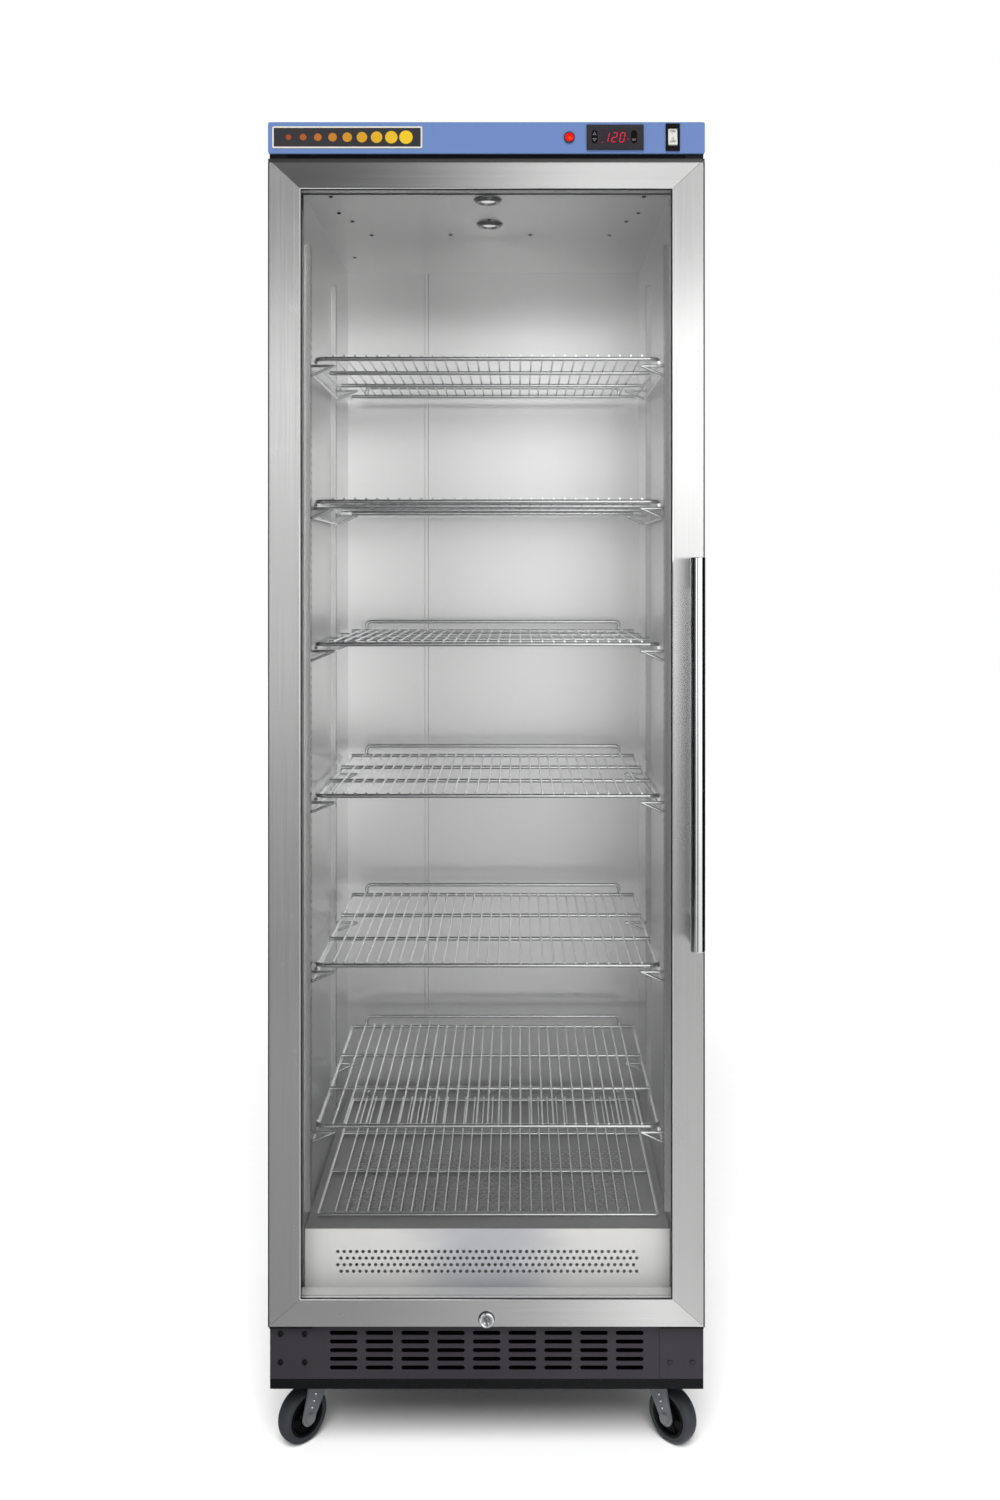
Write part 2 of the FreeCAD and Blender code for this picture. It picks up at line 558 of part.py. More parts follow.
def build_fascia():
    """Painted fascia, label plate and pilot light."""
    shell = block((-SIDE, SIDE), (FACE, BODY_FRONT), (FASCIA_BOTTOM, HEIGHT))
    corners = [edge for edge in shell.Edges if abs(edge.Length - (BODY_FRONT - FACE)) < 0.01]
    shell = shell.makeFillet(FASCIA_RADIUS, corners)
    skin = FASCIA_SKIN
    shell = shell.cut(block((-SIDE + skin, SIDE - skin), (FACE + skin, BODY_FRONT),
                            (FASCIA_BOTTOM + skin, HEIGHT - skin)))
    inner_width, inner_height = controller_body()
    shell = shell.cut(centred(CONTROLLER_X, inner_width + CUTOUT_PLAY, (FACE, FACE + skin),
                              inner_height + CUTOUT_PLAY))
    shell = shell.cut(centred(SWITCH_X, SWITCH_WIDTH - 3 + CUTOUT_PLAY, (FACE, FACE + skin),
                              SWITCH_HEIGHT - 4 + CUTOUT_PLAY))
    lamp = lambda y: (INDICATOR_X, FACE + y, CONTROL_CENTRE)
    neck = INDICATOR_BEZEL - 4
    parts["control_fascia"] = [shell.cut(rod(lamp(0), lamp(skin), neck + CUTOUT_PLAY))]

    bezel = joined([rod(lamp(-2), lamp(0), INDICATOR_BEZEL), rod(lamp(0), lamp(18), neck)])
    bore = joined([rod(lamp(-2), lamp(-0.5), INDICATOR_LENS), rod(lamp(-0.5), lamp(12), neck - 3)])
    parts["indicator_bezel"] = [bezel.cut(bore)]
    dome = joined([rod(lamp(-2.5), lamp(-0.5), INDICATOR_LENS), rod(lamp(-0.5), lamp(8), neck - 3)])
    rim = [edge for edge in dome.Edges if abs(edge.Length - math.pi * INDICATOR_LENS) < 0.01
           and edge.CenterOfMass.y < FACE - 2]
    parts["indicator_lens"] = [dome.makeFillet(1.5, rim)]

    label = block((LABEL_LEFT, LABEL_RIGHT), (FACE - LABEL_THICKNESS, FACE),
                  (CONTROL_CENTRE - LABEL_HEIGHT / 2, CONTROL_CENTRE + LABEL_HEIGHT / 2))
    short = [edge for edge in label.Edges if edge.Length < 2 * LABEL_THICKNESS]
    parts["label_plate"] = [label.makeFillet(2.0, short)]


def centred(x, width, y, height):
    """A box centred on the row of controls."""
    return block((x - width / 2, x + width / 2), y,
                 (CONTROL_CENTRE - height / 2, CONTROL_CENTRE + height / 2))


def controller_body():
    """Width and height of the controller behind its bezel."""
    return CONTROLLER_WIDTH - 7, CONTROLLER_HEIGHT - 5


def build_controller():
    """Digital temperature controller with three keys."""
    front = FACE - CONTROLLER_BEZEL
    bezel = centred(CONTROLLER_X, CONTROLLER_WIDTH, (front, FACE), CONTROLLER_HEIGHT)
    face = [edge for edge in bezel.Edges
            if all(abs(vertex.Y - front) < 0.01 for vertex in edge.Vertexes)]
    bezel = bezel.makeFillet(1.0, face)
    width, height = controller_body()
    body = centred(CONTROLLER_X, width, (FACE, FACE + CONTROLLER_DEPTH), height)
    window_depth = 1.2
    well = centred(CONTROLLER_X, DISPLAY_WIDTH, (front, front + window_depth), DISPLAY_HEIGHT)
    wall = KEY_TRAVEL + CONTROLLER_BEZEL + 0.5
    housing = joined([bezel, body]).cut(well)
    for x in (ARROW_KEY_X, SET_KEY_X):
        housing = housing.cut(pill(x, CONTROL_CENTRE, KEY_WIDTH, KEY_HEIGHT, front, wall))
    parts["controller_housing"] = [housing]
    parts["controller_window"] = [centred(CONTROLLER_X, DISPLAY_WIDTH, (front + 0.2, front + window_depth),
                                          DISPLAY_HEIGHT)]

    def key(x):
        play = 2 * KEY_CLEARANCE
        return pill(x, CONTROL_CENTRE, KEY_WIDTH - play, KEY_HEIGHT - play, front - KEY_PROUD,
                    KEY_PROUD + CONTROLLER_BEZEL)

    gap = KEY_CLEARANCE / 2
    y = (front - 2, FACE + 2)
    parts["up_key"] = [key(ARROW_KEY_X).common(centred(ARROW_KEY_X, KEY_WIDTH, y, KEY_HEIGHT).cut(
        block((ARROW_KEY_X - KEY_WIDTH, ARROW_KEY_X + KEY_WIDTH), y,
              (CONTROL_CENTRE - KEY_HEIGHT, CONTROL_CENTRE + gap))))]
    parts["down_key"] = [key(ARROW_KEY_X).common(centred(ARROW_KEY_X, KEY_WIDTH, y, KEY_HEIGHT).cut(
        block((ARROW_KEY_X - KEY_WIDTH, ARROW_KEY_X + KEY_WIDTH), y,
              (CONTROL_CENTRE - gap, CONTROL_CENTRE + KEY_HEIGHT))))]
    parts["set_key"] = [key(SET_KEY_X)]


def build_switch():
    """Mains rocker switch."""
    bezel = centred(SWITCH_X, SWITCH_WIDTH, (FACE - 2, FACE), SWITCH_HEIGHT)
    body = centred(SWITCH_X, SWITCH_WIDTH - 3, (FACE, FACE + SWITCH_DEPTH), SWITCH_HEIGHT - 4)
    play = 2 * ROCKER_CLEARANCE
    well = centred(SWITCH_X, ROCKER_WIDTH + play, (FACE - 2, FACE + 12), ROCKER_HEIGHT + play)
    parts["switch_frame"] = [joined([bezel, body]).cut(well)]

    half = ROCKER_HEIGHT / 2 - ROCKER_CLEARANCE / 2
    tip, middle, keel = 4.0, 3.2, 7.0     # the rocker's profile, from its axis
    reach = math.sqrt(half ** 2 - tip ** 2)
    outline = [(-tip, reach), (-middle, 0), (-tip, -reach), (tip, -reach), (keel, 0), (tip, reach)]
    corners = [V(SWITCH_X - ROCKER_WIDTH / 2, FACE + ROCKER_AXIS + y, CONTROL_CENTRE + z)
               for y, z in outline]
    rocker = Part.Face(Part.makePolygon(corners + corners[:1])).extrude(V(ROCKER_WIDTH, 0, 0))
    rocker.rotate(V(0, FACE + ROCKER_AXIS, CONTROL_CENTRE), V(1, 0, 0), -ROCKER_TILT)
    parts["switch_rocker"] = [rocker]


# ---- Chamber fittings ----
def build_lights():
    rims, lenses = [], []
    for setback in LIGHT_SETBACKS:
        low = CHAMBER_CEILING - LIGHT_HEIGHT
        at = lambda z: (0, FACE + setback, z)
        rim = ring(at(low), at(CHAMBER_CEILING), LIGHT_DIAMETER, LIGHT_LENS)
        edge = [edge for edge in rim.Edges if abs(edge.Length - math.pi * LIGHT_DIAMETER) < 0.01
                and edge.CenterOfMass.z < low + 1]
        rims.append(rim.makeFillet(1.5, edge))
        lenses.append(rod(at(low + 0.6), at(CHAMBER_CEILING), LIGHT_LENS))
    parts["ceiling_light_rims"] = rims
    parts["ceiling_light_lenses"] = lenses


def build_standards():
    """Slotted strips that carry the shelf supports."""
    face = CHAMBER_SIDE - STANDARD_DEPTH
    low = FLOOR_COVER_TOP + 4 * SLOT_HEIGHT
    half = STANDARD_WIDTH / 2
    first = TOP_SHELF_HEIGHT - ARM_DROP_FROM_RAIL
    steps = range(math.ceil((low + SLOT_HEIGHT - first) / SLOT_PITCH),
                  math.floor((STANDARD_TOP - SLOT_HEIGHT - first) / SLOT_PITCH) + 1)
    strips = []
    for setback in STANDARD_SETBACKS:
        y = FACE + setback

        def rectangle(half_y, z_low, z_high):
            corners = [(-half_y, z_low), (half_y, z_low), (half_y, z_high), (-half_y, z_high)]
            return Part.makePolygon([V(face, y + dy, z) for dy, z in corners + corners[:1]])

        slots = [rectangle(SLOT_WIDTH / 2, first + step * SLOT_PITCH - SLOT_HEIGHT / 2,
                           first + step * SLOT_PITCH + SLOT_HEIGHT / 2) for step in steps]
        web = pierced(rectangle(half, low, STANDARD_TOP), slots, V(STANDARD_SHEET, 0, 0))
        flanges = [block((face, CHAMBER_SIDE), (y + inner, y + inner + STANDARD_SHEET),
                         (low, STANDARD_TOP)) for inner in (-half, half - STANDARD_SHEET)]
        strips += pair(joined([web] + flanges))
    parts["shelf_standards"] = strips


def build_supports():
    """A bent-wire support on each side of every shelf: two braced arms and the rod between."""
    face = CHAMBER_SIDE - STANDARD_DEPTH
    hook = face + STANDARD_DEPTH - 2
    apex = face - ARM_REACH
    supports = []
    for height in SHELF_HEIGHTS:
        arm_z = height - ARM_DROP_FROM_RAIL
        low_z = arm_z - ARM_DROP
        front, rear = [FACE + setback for setback in STANDARD_SETBACKS]
        wires = []
        for y in (front, rear):
            wires += [rod((hook, y, arm_z), (apex, y, arm_z), ARM_WIRE),
                      ball((apex, y, arm_z), ARM_WIRE),
                      rod((apex, y, arm_z), (face - ARM_WIRE / 2, y, low_z), ARM_WIRE),
                      ball((face - ARM_WIRE / 2, y, low_z), ARM_WIRE)]
        wires.append(rod((face - ARM_WIRE / 2, front, low_z), (face - ARM_WIRE / 2, rear, low_z),
                         ARM_WIRE))
        supports += pair(joined(wires))
    parts["shelf_supports"] = supports


def wire_shelf(front, side_drop):
    """A welded shelf with its front rail's centre at height 0: (mat, rear stop)."""
    half = SHELF_WIDTH / 2
    side_x = half - SIDE_ROD / 2
    y_front, y_rear = FACE + front, FACE + front + SHELF_DEPTH
    rail_end = side_x if side_drop else side_x - SIDE_ROD / 2 + WELD
    wires = [rod((-rail_end, y_rear, 0), (rail_end, y_rear, 0), RAIL),
             bent_rod([(-rail_end, y_front + SHELF_CORNER + 1, 0), (-rail_end, y_front, 0),
                       (rail_end, y_front, 0), (rail_end, y_front + SHELF_CORNER + 1, 0)],
                      SHELF_CORNER, RAIL) if side_drop
             else rod((-rail_end, y_front, 0), (rail_end, y_front, 0), RAIL)]
    gap = SHELF_DEPTH / (CROSS_RODS + 1)
    wires += [rod((-rail_end, y_front + gap * step, 0), (rail_end, y_front + gap * step, 0), RAIL)
              for step in range(1, CROSS_RODS + 1)]
    wires += [rod((x, y_front + (1 if side_drop else -RAIL / 2), -side_drop),
                  (x, y_rear + RAIL / 2, -side_drop), SIDE_ROD) for x in (-side_x, side_x)]
    lift = (RAIL + MAT_WIRE) / 2 - WELD
    middle = (MAT_WIRES - 1) / 2
    wires += [rod(((n - middle) * WIRE_PITCH, y_front - MAT_WIRE, lift),
                  ((n - middle) * WIRE_PITCH, y_rear + RAIL / 2, lift), MAT_WIRE)
              for n in range(MAT_WIRES)]
    mat = joined(wires)
    stop_y = y_rear + RAIL
    reach = half - 2 * SHELF_CORNER
    stop = bent_rod([(-reach, stop_y, 0), (-reach, stop_y, STOP_HEIGHT), (reach, stop_y, STOP_HEIGHT),
                     (reach, stop_y, 0)], SHELF_CORNER / 2, RAIL)
    return [mat, stop]


def build_shelves():
    """Six wire shelves on the supports, and one more standing on the heated floor."""
    pattern = wire_shelf(SHELF_FRONT, SIDE_ROD_DROP)
    for number, height in enumerate(SHELF_HEIGHTS, start=1):
        parts[f"shelf_{number}"] = [raised(shape, height) for shape in pattern]
    rack = wire_shelf(RACK_FRONT, 0.0)
    rack_height = FLOOR_COVER_TOP + SEAT_CLEARANCE + RAIL / 2
    parts["floor_rack"] = [raised(shape, rack_height) for shape in rack]


def raised(shape, height):
    copy = shape.copy()
    copy.translate(V(0, 0, height))
    return copy


# ---- Heated floor ----
def build_floor_cover():
    """Perforated cover over the heater: a top plate and an upright front."""
    half = CHAMBER_SIDE - FLOOR_COVER_PLAY
    front = FACE + FLOOR_COVER_SETBACK
    back = CHAMBER_BACK - FLOOR_COVER_PLAY
    z = FLOOR_COVER_TOP - SHEET
    outline = Part.makePolygon([V(-half, front, z), V(half, front, z), V(half, back, z),
                                V(-half, back, z), V(-half, front, z)])
    holes = []
    for row in range(TOP_HOLE_ROWS):
        shift = TOP_HOLE_PITCH / 4 * (1 if row % 2 else -1)
        y = FACE + TOP_HOLE_SETBACK + row * TOP_HOLE_ROW_PITCH
        for column in range(TOP_HOLE_COLUMNS):
            x = (column - (TOP_HOLE_COLUMNS - 1) / 2) * TOP_HOLE_PITCH + shift
            holes.append(round_hole(TOP_HOLE, TOP_HOLE_SIDES, lambda u, v: (x + u, y + v, z)))
    top = pierced(outline, holes, V(0, 0, SHEET))

    outline = Part.makePolygon([V(-half, front, CHAMBER_FLOOR), V(half, front, CHAMBER_FLOOR),
                                V(half, front, z), V(-half, front, z), V(-half, front, CHAMBER_FLOOR)])
    holes = []
    for row in range(FRONT_HOLE_ROWS):
        shift = FRONT_HOLE_PITCH / 4 * (1 if row % 2 else -1)
        for column in range(FRONT_HOLE_COLUMNS):
            x = (column - (FRONT_HOLE_COLUMNS - 1) / 2) * FRONT_HOLE_PITCH + shift
            height = FRONT_HOLE_TOP - row * FRONT_HOLE_ROW_PITCH
            holes.append(round_hole(FRONT_HOLE, FRONT_HOLE_SIDES,
                                    lambda u, v: (x + u, front, height + v)))
    parts["floor_cover"] = [top, pierced(outline, holes, V(0, SHEET, 0))]


def build_heater():
    """Serpentine tube heater, circulation fan and probe, all under the floor cover."""
    y = FACE + HEATER_SETBACK
    points = [(-HEATER_HALF_WIDTH - HEATER_BEND, y, CHAMBER_FLOOR),
              (-HEATER_HALF_WIDTH - HEATER_BEND, y, HEATER_HEIGHT)]
    for loop in range(HEATER_LOOPS):
        near, far = y + 2 * loop * HEATER_BEND, y + (2 * loop + 2) * HEATER_BEND
        end = HEATER_HALF_WIDTH if loop % 2 == 0 else -HEATER_HALF_WIDTH
        points += [(end, near, HEATER_HEIGHT), (end, far, HEATER_HEIGHT)]
    last = points[-1]
    points += [(-last[0] - HEATER_BEND, last[1], HEATER_HEIGHT),
               (-last[0] - HEATER_BEND, last[1], CHAMBER_FLOOR)]
    parts["heater_element"] = [bent_rod(points, HEATER_BEND * 0.9, HEATER_TUBE)]

    centre_y = FACE + FAN_SETBACK
    low = CHAMBER_FLOOR + FAN_LIFT
    high = low + FAN_THICKNESS
    at = lambda z: (0, centre_y, z)
    half = FAN_SIZE / 2
    bore = FAN_SIZE - 5
    housing = block((-half, half), (centre_y - half, centre_y + half), (low, high)).cut(
        rod(at(low), at(high), bore))
    legs = [rod((x, centre_y + y, CHAMBER_FLOOR), (x, centre_y + y, low), 2 * HEATER_TUBE)
            for x in (-half + 9, half - 9) for y in (-half + 9, half - 9)]
    spokes = []
    for turn in (30, 150, 270):
        spoke = block((0, bore / 2 + 1), (centre_y - 2, centre_y + 2), (low + 0.5, low + 3.5))
        spoke.rotate(V(0, centre_y, 0), V(0, 0, 1), turn)
        spokes.append(spoke)
    motor = rod(at(low), at(low + 5), FAN_HUB)
    shaft = rod(at(low + 5), at(high - 4), FAN_SHAFT)
    parts["fan_frame"] = [joined([housing, motor, shaft] + spokes + legs)]

    hub = ring(at(low + 6), at(high - 2), FAN_HUB, FAN_SHAFT + 2 * PIN_CLEARANCE)
    blades = []
    tip = bore / 2 - FAN_GAP
    for n in range(FAN_BLADES):
        blade = block((FAN_HUB / 2 - 1, tip - 1), (centre_y - 0.8, centre_y + 0.8),
                      (low + 9, high - 5))
        blade.rotate(V((FAN_HUB / 2 + tip) / 2, centre_y, (low + high) / 2), V(1, 0, 0), 35)
        blade.rotate(V(0, centre_y, 0), V(0, 0, 1), n * 360 / FAN_BLADES)
        blades.append(blade)
    parts["fan_rotor"] = [joined([hub] + blades)]

    probe_x, probe_z = 2 * half, (CHAMBER_FLOOR + FLOOR_COVER_TOP) / 2
    parts["temperature_probe"] = [joined([
        rod((probe_x, CHAMBER_BACK - PROBE_LENGTH, probe_z), (probe_x, CHAMBER_BACK, probe_z),
            PROBE_DIAMETER),
        rod((probe_x, CHAMBER_BACK - 4, probe_z), (probe_x, CHAMBER_BACK, probe_z),
            2 * PROBE_DIAMETER)])]


def build_services():
    """Terminal box in the machine compartment, and the cord gland in the back panel."""
    length, depth, height = TERMINAL_BOX
    floor = BASE_UNDERSIDE + KICK_SHEET
    box_back = BACK_FACE - GLAND_LENGTH
    parts["terminal_box"] = [block((GLAND_X - length / 3, GLAND_X + 2 * length / 3),
                                   (box_back - depth, box_back), (floor, floor + height))]
    at = lambda y: (GLAND_X, BACK_FACE + y, GLAND_HEIGHT)
    mouth = BACK_PANEL_INSET - 0.5
    gland = joined([rod(at(-GLAND_LENGTH), at(0), GLAND_DIAMETER * 0.7),
                    rod(at(-SHEET - 5), at(-SHEET), GLAND_DIAMETER),
                    rod(at(0), at(mouth), GLAND_DIAMETER)])
    parts["cord_gland"] = [gland.cut(rod(at(-GLAND_LENGTH), at(mouth), GLAND_BORE))]


def build_fasteners():
    """Screw and rivet heads of the body, one group."""
    heads = [screw_head(x, KICK_FACE, z, (0, -1, 0)) for x in KICK_SCREWS_X for z in KICK_SCREWS_Z]
    heads += [screw_head(x, KICK_FACE - KICK_SHEET, COVER_SCREW_Z, (0, -1, 0)) for x in COVER_SCREWS_X]
    heads += [screw_head(x, FACE + setback, CHAMBER_CEILING, (0, 0, -1), RIVET_HEAD,
                         RIVET_HEAD_HEIGHT) for x, setback in CEILING_RIVETS]
    low, high = BASE_TOP + BACK_SCREW_INSET, HEIGHT - 2 * BACK_SCREW_INSET
    heads += [screw_head(side * (SIDE - BACK_SCREW_INSET), BACK_FACE,
                         low + (high - low) * n / (BACK_SCREWS - 1), (0, 1, 0))
              for side in (-1, 1) for n in range(BACK_SCREWS)]
    parts["fasteners"] = heads


# ---- Casters ----
def caster(turn):
    """One caster on its swivel axis at the origin: mount, fork with its axle, wheel."""
    plate_low = BASE_UNDERSIDE - CASTER_PLATE_THICKNESS
    race_low = plate_low - RACEWAY_HEIGHT
    head_high = race_low - FORK_GAP
    head_low = head_high - FORK_HEAD_HEIGHT
    half = CASTER_PLATE / 2
    radius = WHEEL_DIAMETER / 2
    plate = block((-half, half), (-half, half), (plate_low, BASE_UNDERSIDE))
    corners = [edge for edge in plate.Edges if abs(edge.Length - CASTER_PLATE_THICKNESS) < 0.01]
    pin_low = head_low - 4
    mount = joined([plate.makeFillet(6.0, corners),
                    rod((0, 0, race_low), (0, 0, plate_low), RACEWAY_DIAMETER),
                    rod((0, 0, pin_low), (0, 0, race_low), KING_PIN_DIAMETER),
                    rod((0, 0, pin_low), (0, 0, head_low - FORK_GAP), KING_PIN_DIAMETER + 8)])

    leg_in = WHEEL_WIDTH / 2 + FORK_SIDE_PLAY
    leg_out = leg_in + FORK_SHEET
    head = RACEWAY_DIAMETER / 2
    boss = AXLE_BOSS
    shoulder = head_high - FORK_SHEET
    low = WHEEL_DIAMETER / 2
    outline = Part.Wire([
        Part.LineSegment(V(leg_in, head - 3, shoulder), V(leg_in, -head, shoulder)).toShape(),
        Part.LineSegment(V(leg_in, -head, shoulder), V(leg_in, -WHEEL_TRAIL - boss, low)).toShape(),
        Part.Arc(V(leg_in, -WHEEL_TRAIL - boss, low), V(leg_in, -WHEEL_TRAIL, low - boss),
                 V(leg_in, -WHEEL_TRAIL + boss, low)).toShape(),
        Part.LineSegment(V(leg_in, -WHEEL_TRAIL + boss, low), V(leg_in, head - 3, shoulder)).toShape()])
    leg = Part.Face(outline).extrude(V(FORK_SHEET, 0, 0))
    bridge = block((-leg_out, leg_out), (-head, head - 3), (shoulder, head_high))
    crown = rod((0, 0, shoulder), (0, 0, head_high), RACEWAY_DIAMETER)
    collar = rod((0, 0, head_low), (0, 0, shoulder), KING_PIN_DIAMETER + 8)
    king_bore = rod((0, 0, head_low), (0, 0, head_high), KING_PIN_DIAMETER + 2 * PIN_CLEARANCE)
    axle_bore = rod((-leg_out, -WHEEL_TRAIL, low), (leg_out, -WHEEL_TRAIL, low), AXLE_DIAMETER)
    fork = joined([bridge, crown, collar] + pair(leg)).cut(king_bore).cut(axle_bore)
    nut = lambda side: rod((side * leg_out, -WHEEL_TRAIL, low),
                           (side * (leg_out + 4), -WHEEL_TRAIL, low), AXLE_DIAMETER * 1.7)
    axle = joined([rod((-leg_out, -WHEEL_TRAIL, low), (leg_out, -WHEEL_TRAIL, low), AXLE_DIAMETER),
                   nut(1), nut(-1)])

    half_width, tyre_in = WHEEL_WIDTH / 2, radius - TYRE_THICKNESS
    tyre = ring((-half_width, -WHEEL_TRAIL, low), (half_width, -WHEEL_TRAIL, low), 2 * radius, 2 * tyre_in)
    rims = [edge for edge in tyre.Edges if abs(edge.Length - math.pi * WHEEL_DIAMETER) < 0.01]
    tyre = tyre.makeFillet(3.5, rims)
    hub = ring((-half_width, -WHEEL_TRAIL, low), (half_width, -WHEEL_TRAIL, low), 2 * tyre_in,
               AXLE_DIAMETER + 2 * PIN_CLEARANCE)
    dish_depth = WHEEL_WIDTH / 6
    for side in (-1, 1):
        face = side * half_width
        hub = hub.cut(ring((face, -WHEEL_TRAIL, low), (face - side * dish_depth, -WHEEL_TRAIL, low),
                           2 * tyre_in - 8, AXLE_DIAMETER * 2.2))
    solids = {"mount": [mount], "fork": [fork, axle], "wheel": [tyre, hub]}
    for group in ("fork", "wheel"):
        for shape in solids[group]:
            shape.rotate(V(0, 0, 0), V(0, 0, 1), turn)
    return solids


def build_casters():
    """Four swivel casters, all turned outwards."""
    mounts = []
    x = SIDE - CASTER_INSET
    front_y = FACE + CASTER_FRONT_SETBACK
    rear_y = BACK - CASTER_BACK_INSET
    places = {"front_left": (-x, front_y, -CASTER_TURN), "front_right": (x, front_y, CASTER_TURN),
              "rear_left": (-x, rear_y, CASTER_TURN - 180), "rear_right": (x, rear_y, 180 - CASTER_TURN)}
    for name, (x, y, turn) in places.items():
        solids = caster(turn)
        for group in solids.values():
            for shape in group:
                shape.translate(V(x, y, 0))
        mounts += solids["mount"]
        parts[f"caster_fork_{name}"] = solids["fork"]
        parts[f"caster_wheel_{name}"] = solids["wheel"]
    parts["caster_mounts"] = mounts


def build_all():
    for build in (build_body, build_base, build_door, build_door_hardware, build_fascia,
                  build_controller, build_switch, build_lights, build_standards, build_supports,
                  build_shelves, build_floor_cover, build_heater, build_services,
                  build_fasteners, build_casters):
        build()


build_all()
os.makedirs("parts", exist_ok=True)
for node, solids in parts.items():
    shape = solids[0] if len(solids) == 1 else Part.makeCompound(solids)
    shape.exportStep(f"parts/{node}.step")
    print(f"{node:28s} solids {len(shape.Solids)}  valid {shape.isValid()}  volume {shape.Volume / 1000:9.1f} cm3")
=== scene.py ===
"""Looks of the blanket warming cabinet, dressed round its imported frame.

Metres throughout, in the frame's axes: +Z up, the door faces -Y and +X is to the right of it.
"""
from __future__ import annotations

import logging
import math
from dataclasses import dataclass
from enum import Enum
from functools import cache
from typing import Callable, Iterable, Sequence

import bmesh
import bpy
import numpy as np
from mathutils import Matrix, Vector


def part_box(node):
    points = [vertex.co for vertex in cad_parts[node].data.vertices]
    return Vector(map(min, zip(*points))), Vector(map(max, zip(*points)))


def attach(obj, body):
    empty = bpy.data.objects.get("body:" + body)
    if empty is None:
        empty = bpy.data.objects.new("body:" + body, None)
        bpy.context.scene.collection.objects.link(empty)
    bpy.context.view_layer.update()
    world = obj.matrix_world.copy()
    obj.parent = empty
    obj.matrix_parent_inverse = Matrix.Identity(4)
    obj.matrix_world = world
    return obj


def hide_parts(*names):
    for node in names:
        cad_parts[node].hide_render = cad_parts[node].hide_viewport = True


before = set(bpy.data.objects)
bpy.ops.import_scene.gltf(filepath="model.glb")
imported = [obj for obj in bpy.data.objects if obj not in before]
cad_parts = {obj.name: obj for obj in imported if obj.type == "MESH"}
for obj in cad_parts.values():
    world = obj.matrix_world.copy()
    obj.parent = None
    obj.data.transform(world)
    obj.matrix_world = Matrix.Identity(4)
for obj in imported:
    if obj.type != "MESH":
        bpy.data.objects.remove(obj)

LOG = logging.getLogger("cabinet")
MM = 0.001
SHARP = 35.0                 # degrees past which an edge stays sharp
SQUARE = np.array([(-1, -1), (1, -1), (1, 1), (-1, 1)])
Colour = tuple[float, float, float]
Point = tuple[float, float, float]
Plane = Callable[[np.ndarray, np.ndarray], np.ndarray]   # puts flat points and their rises into space

# ---- Places shared with the frame ----
FACE = -0.275                # y of the door's and the fascia's face
KICK_FACE = -0.259
CONTROL_CENTRE = 1.836       # height of the row of controls
CORNERS = {"front_left": (-0.247, -0.182, -43.8), "front_right": (0.247, -0.182, 43.8),
           "rear_left": (-0.247, 0.265, 43.8 - 180), "rear_right": (0.247, 0.265, 180 - 43.8)}


class Grain(Enum):
    """Which way a brushed finish runs, as its noise's scale along each axis."""

    ALONG_X = (5.0, 950.0, 950.0)
    ALONG_Z = (950.0, 950.0, 5.0)


# ---- Shader building ----
class Value:
    """A number in a shader, with Python's operators as Math nodes."""

    def __init__(self, graph: "Graph", socket: bpy.types.NodeSocket) -> None:
        """Keep the socket and the graph that it is in."""
        self.graph, self.socket = graph, socket

    def _math(self, operation: str, *terms: "Value | float") -> "Value":
        """Add a Math node that works on the terms and return its result."""
        node = self.graph.node("ShaderNodeMath", {"operation": operation}, dict(enumerate(terms)))
        return Value(self.graph, node.outputs[0])

    def __add__(self, other: "Value | float") -> "Value":
        """Sum."""
        return self._math("ADD", self, other)

    def __sub__(self, other: "Value | float") -> "Value":
        """Difference."""
        return self._math("SUBTRACT", self, other)

    def __rsub__(self, other: float) -> "Value":
        """Difference from a number."""
        return self._math("SUBTRACT", other, self)

    def __mul__(self, other: "Value | float") -> "Value":
        """Product."""
        return self._math("MULTIPLY", self, other)

    def __pow__(self, other: float) -> "Value":
        """Power."""
        return self._math("POWER", self, other)

    def __abs__(self) -> "Value":
        """Size without sign."""
        return self._math("ABSOLUTE", self)

    __radd__ = __add__
    __rmul__ = __mul__

    def wave(self) -> "Value":
        """Sine."""
        return self._math("SINE", self)

    def ramp(self, low: float, high: float) -> "Value":
        """Rise smoothly from 0 at low to 1 at high.

        Args:
            low: the value below which the result is 0.
            high: the value above which the result is 1.

        Returns:
            The smooth step.
        """
        node = self.graph.node("ShaderNodeMapRange", {"interpolation_type": "SMOOTHSTEP"},
                               {"Value": self, "From Min": low, "From Max": high})
        return Value(self.graph, node.outputs[0])


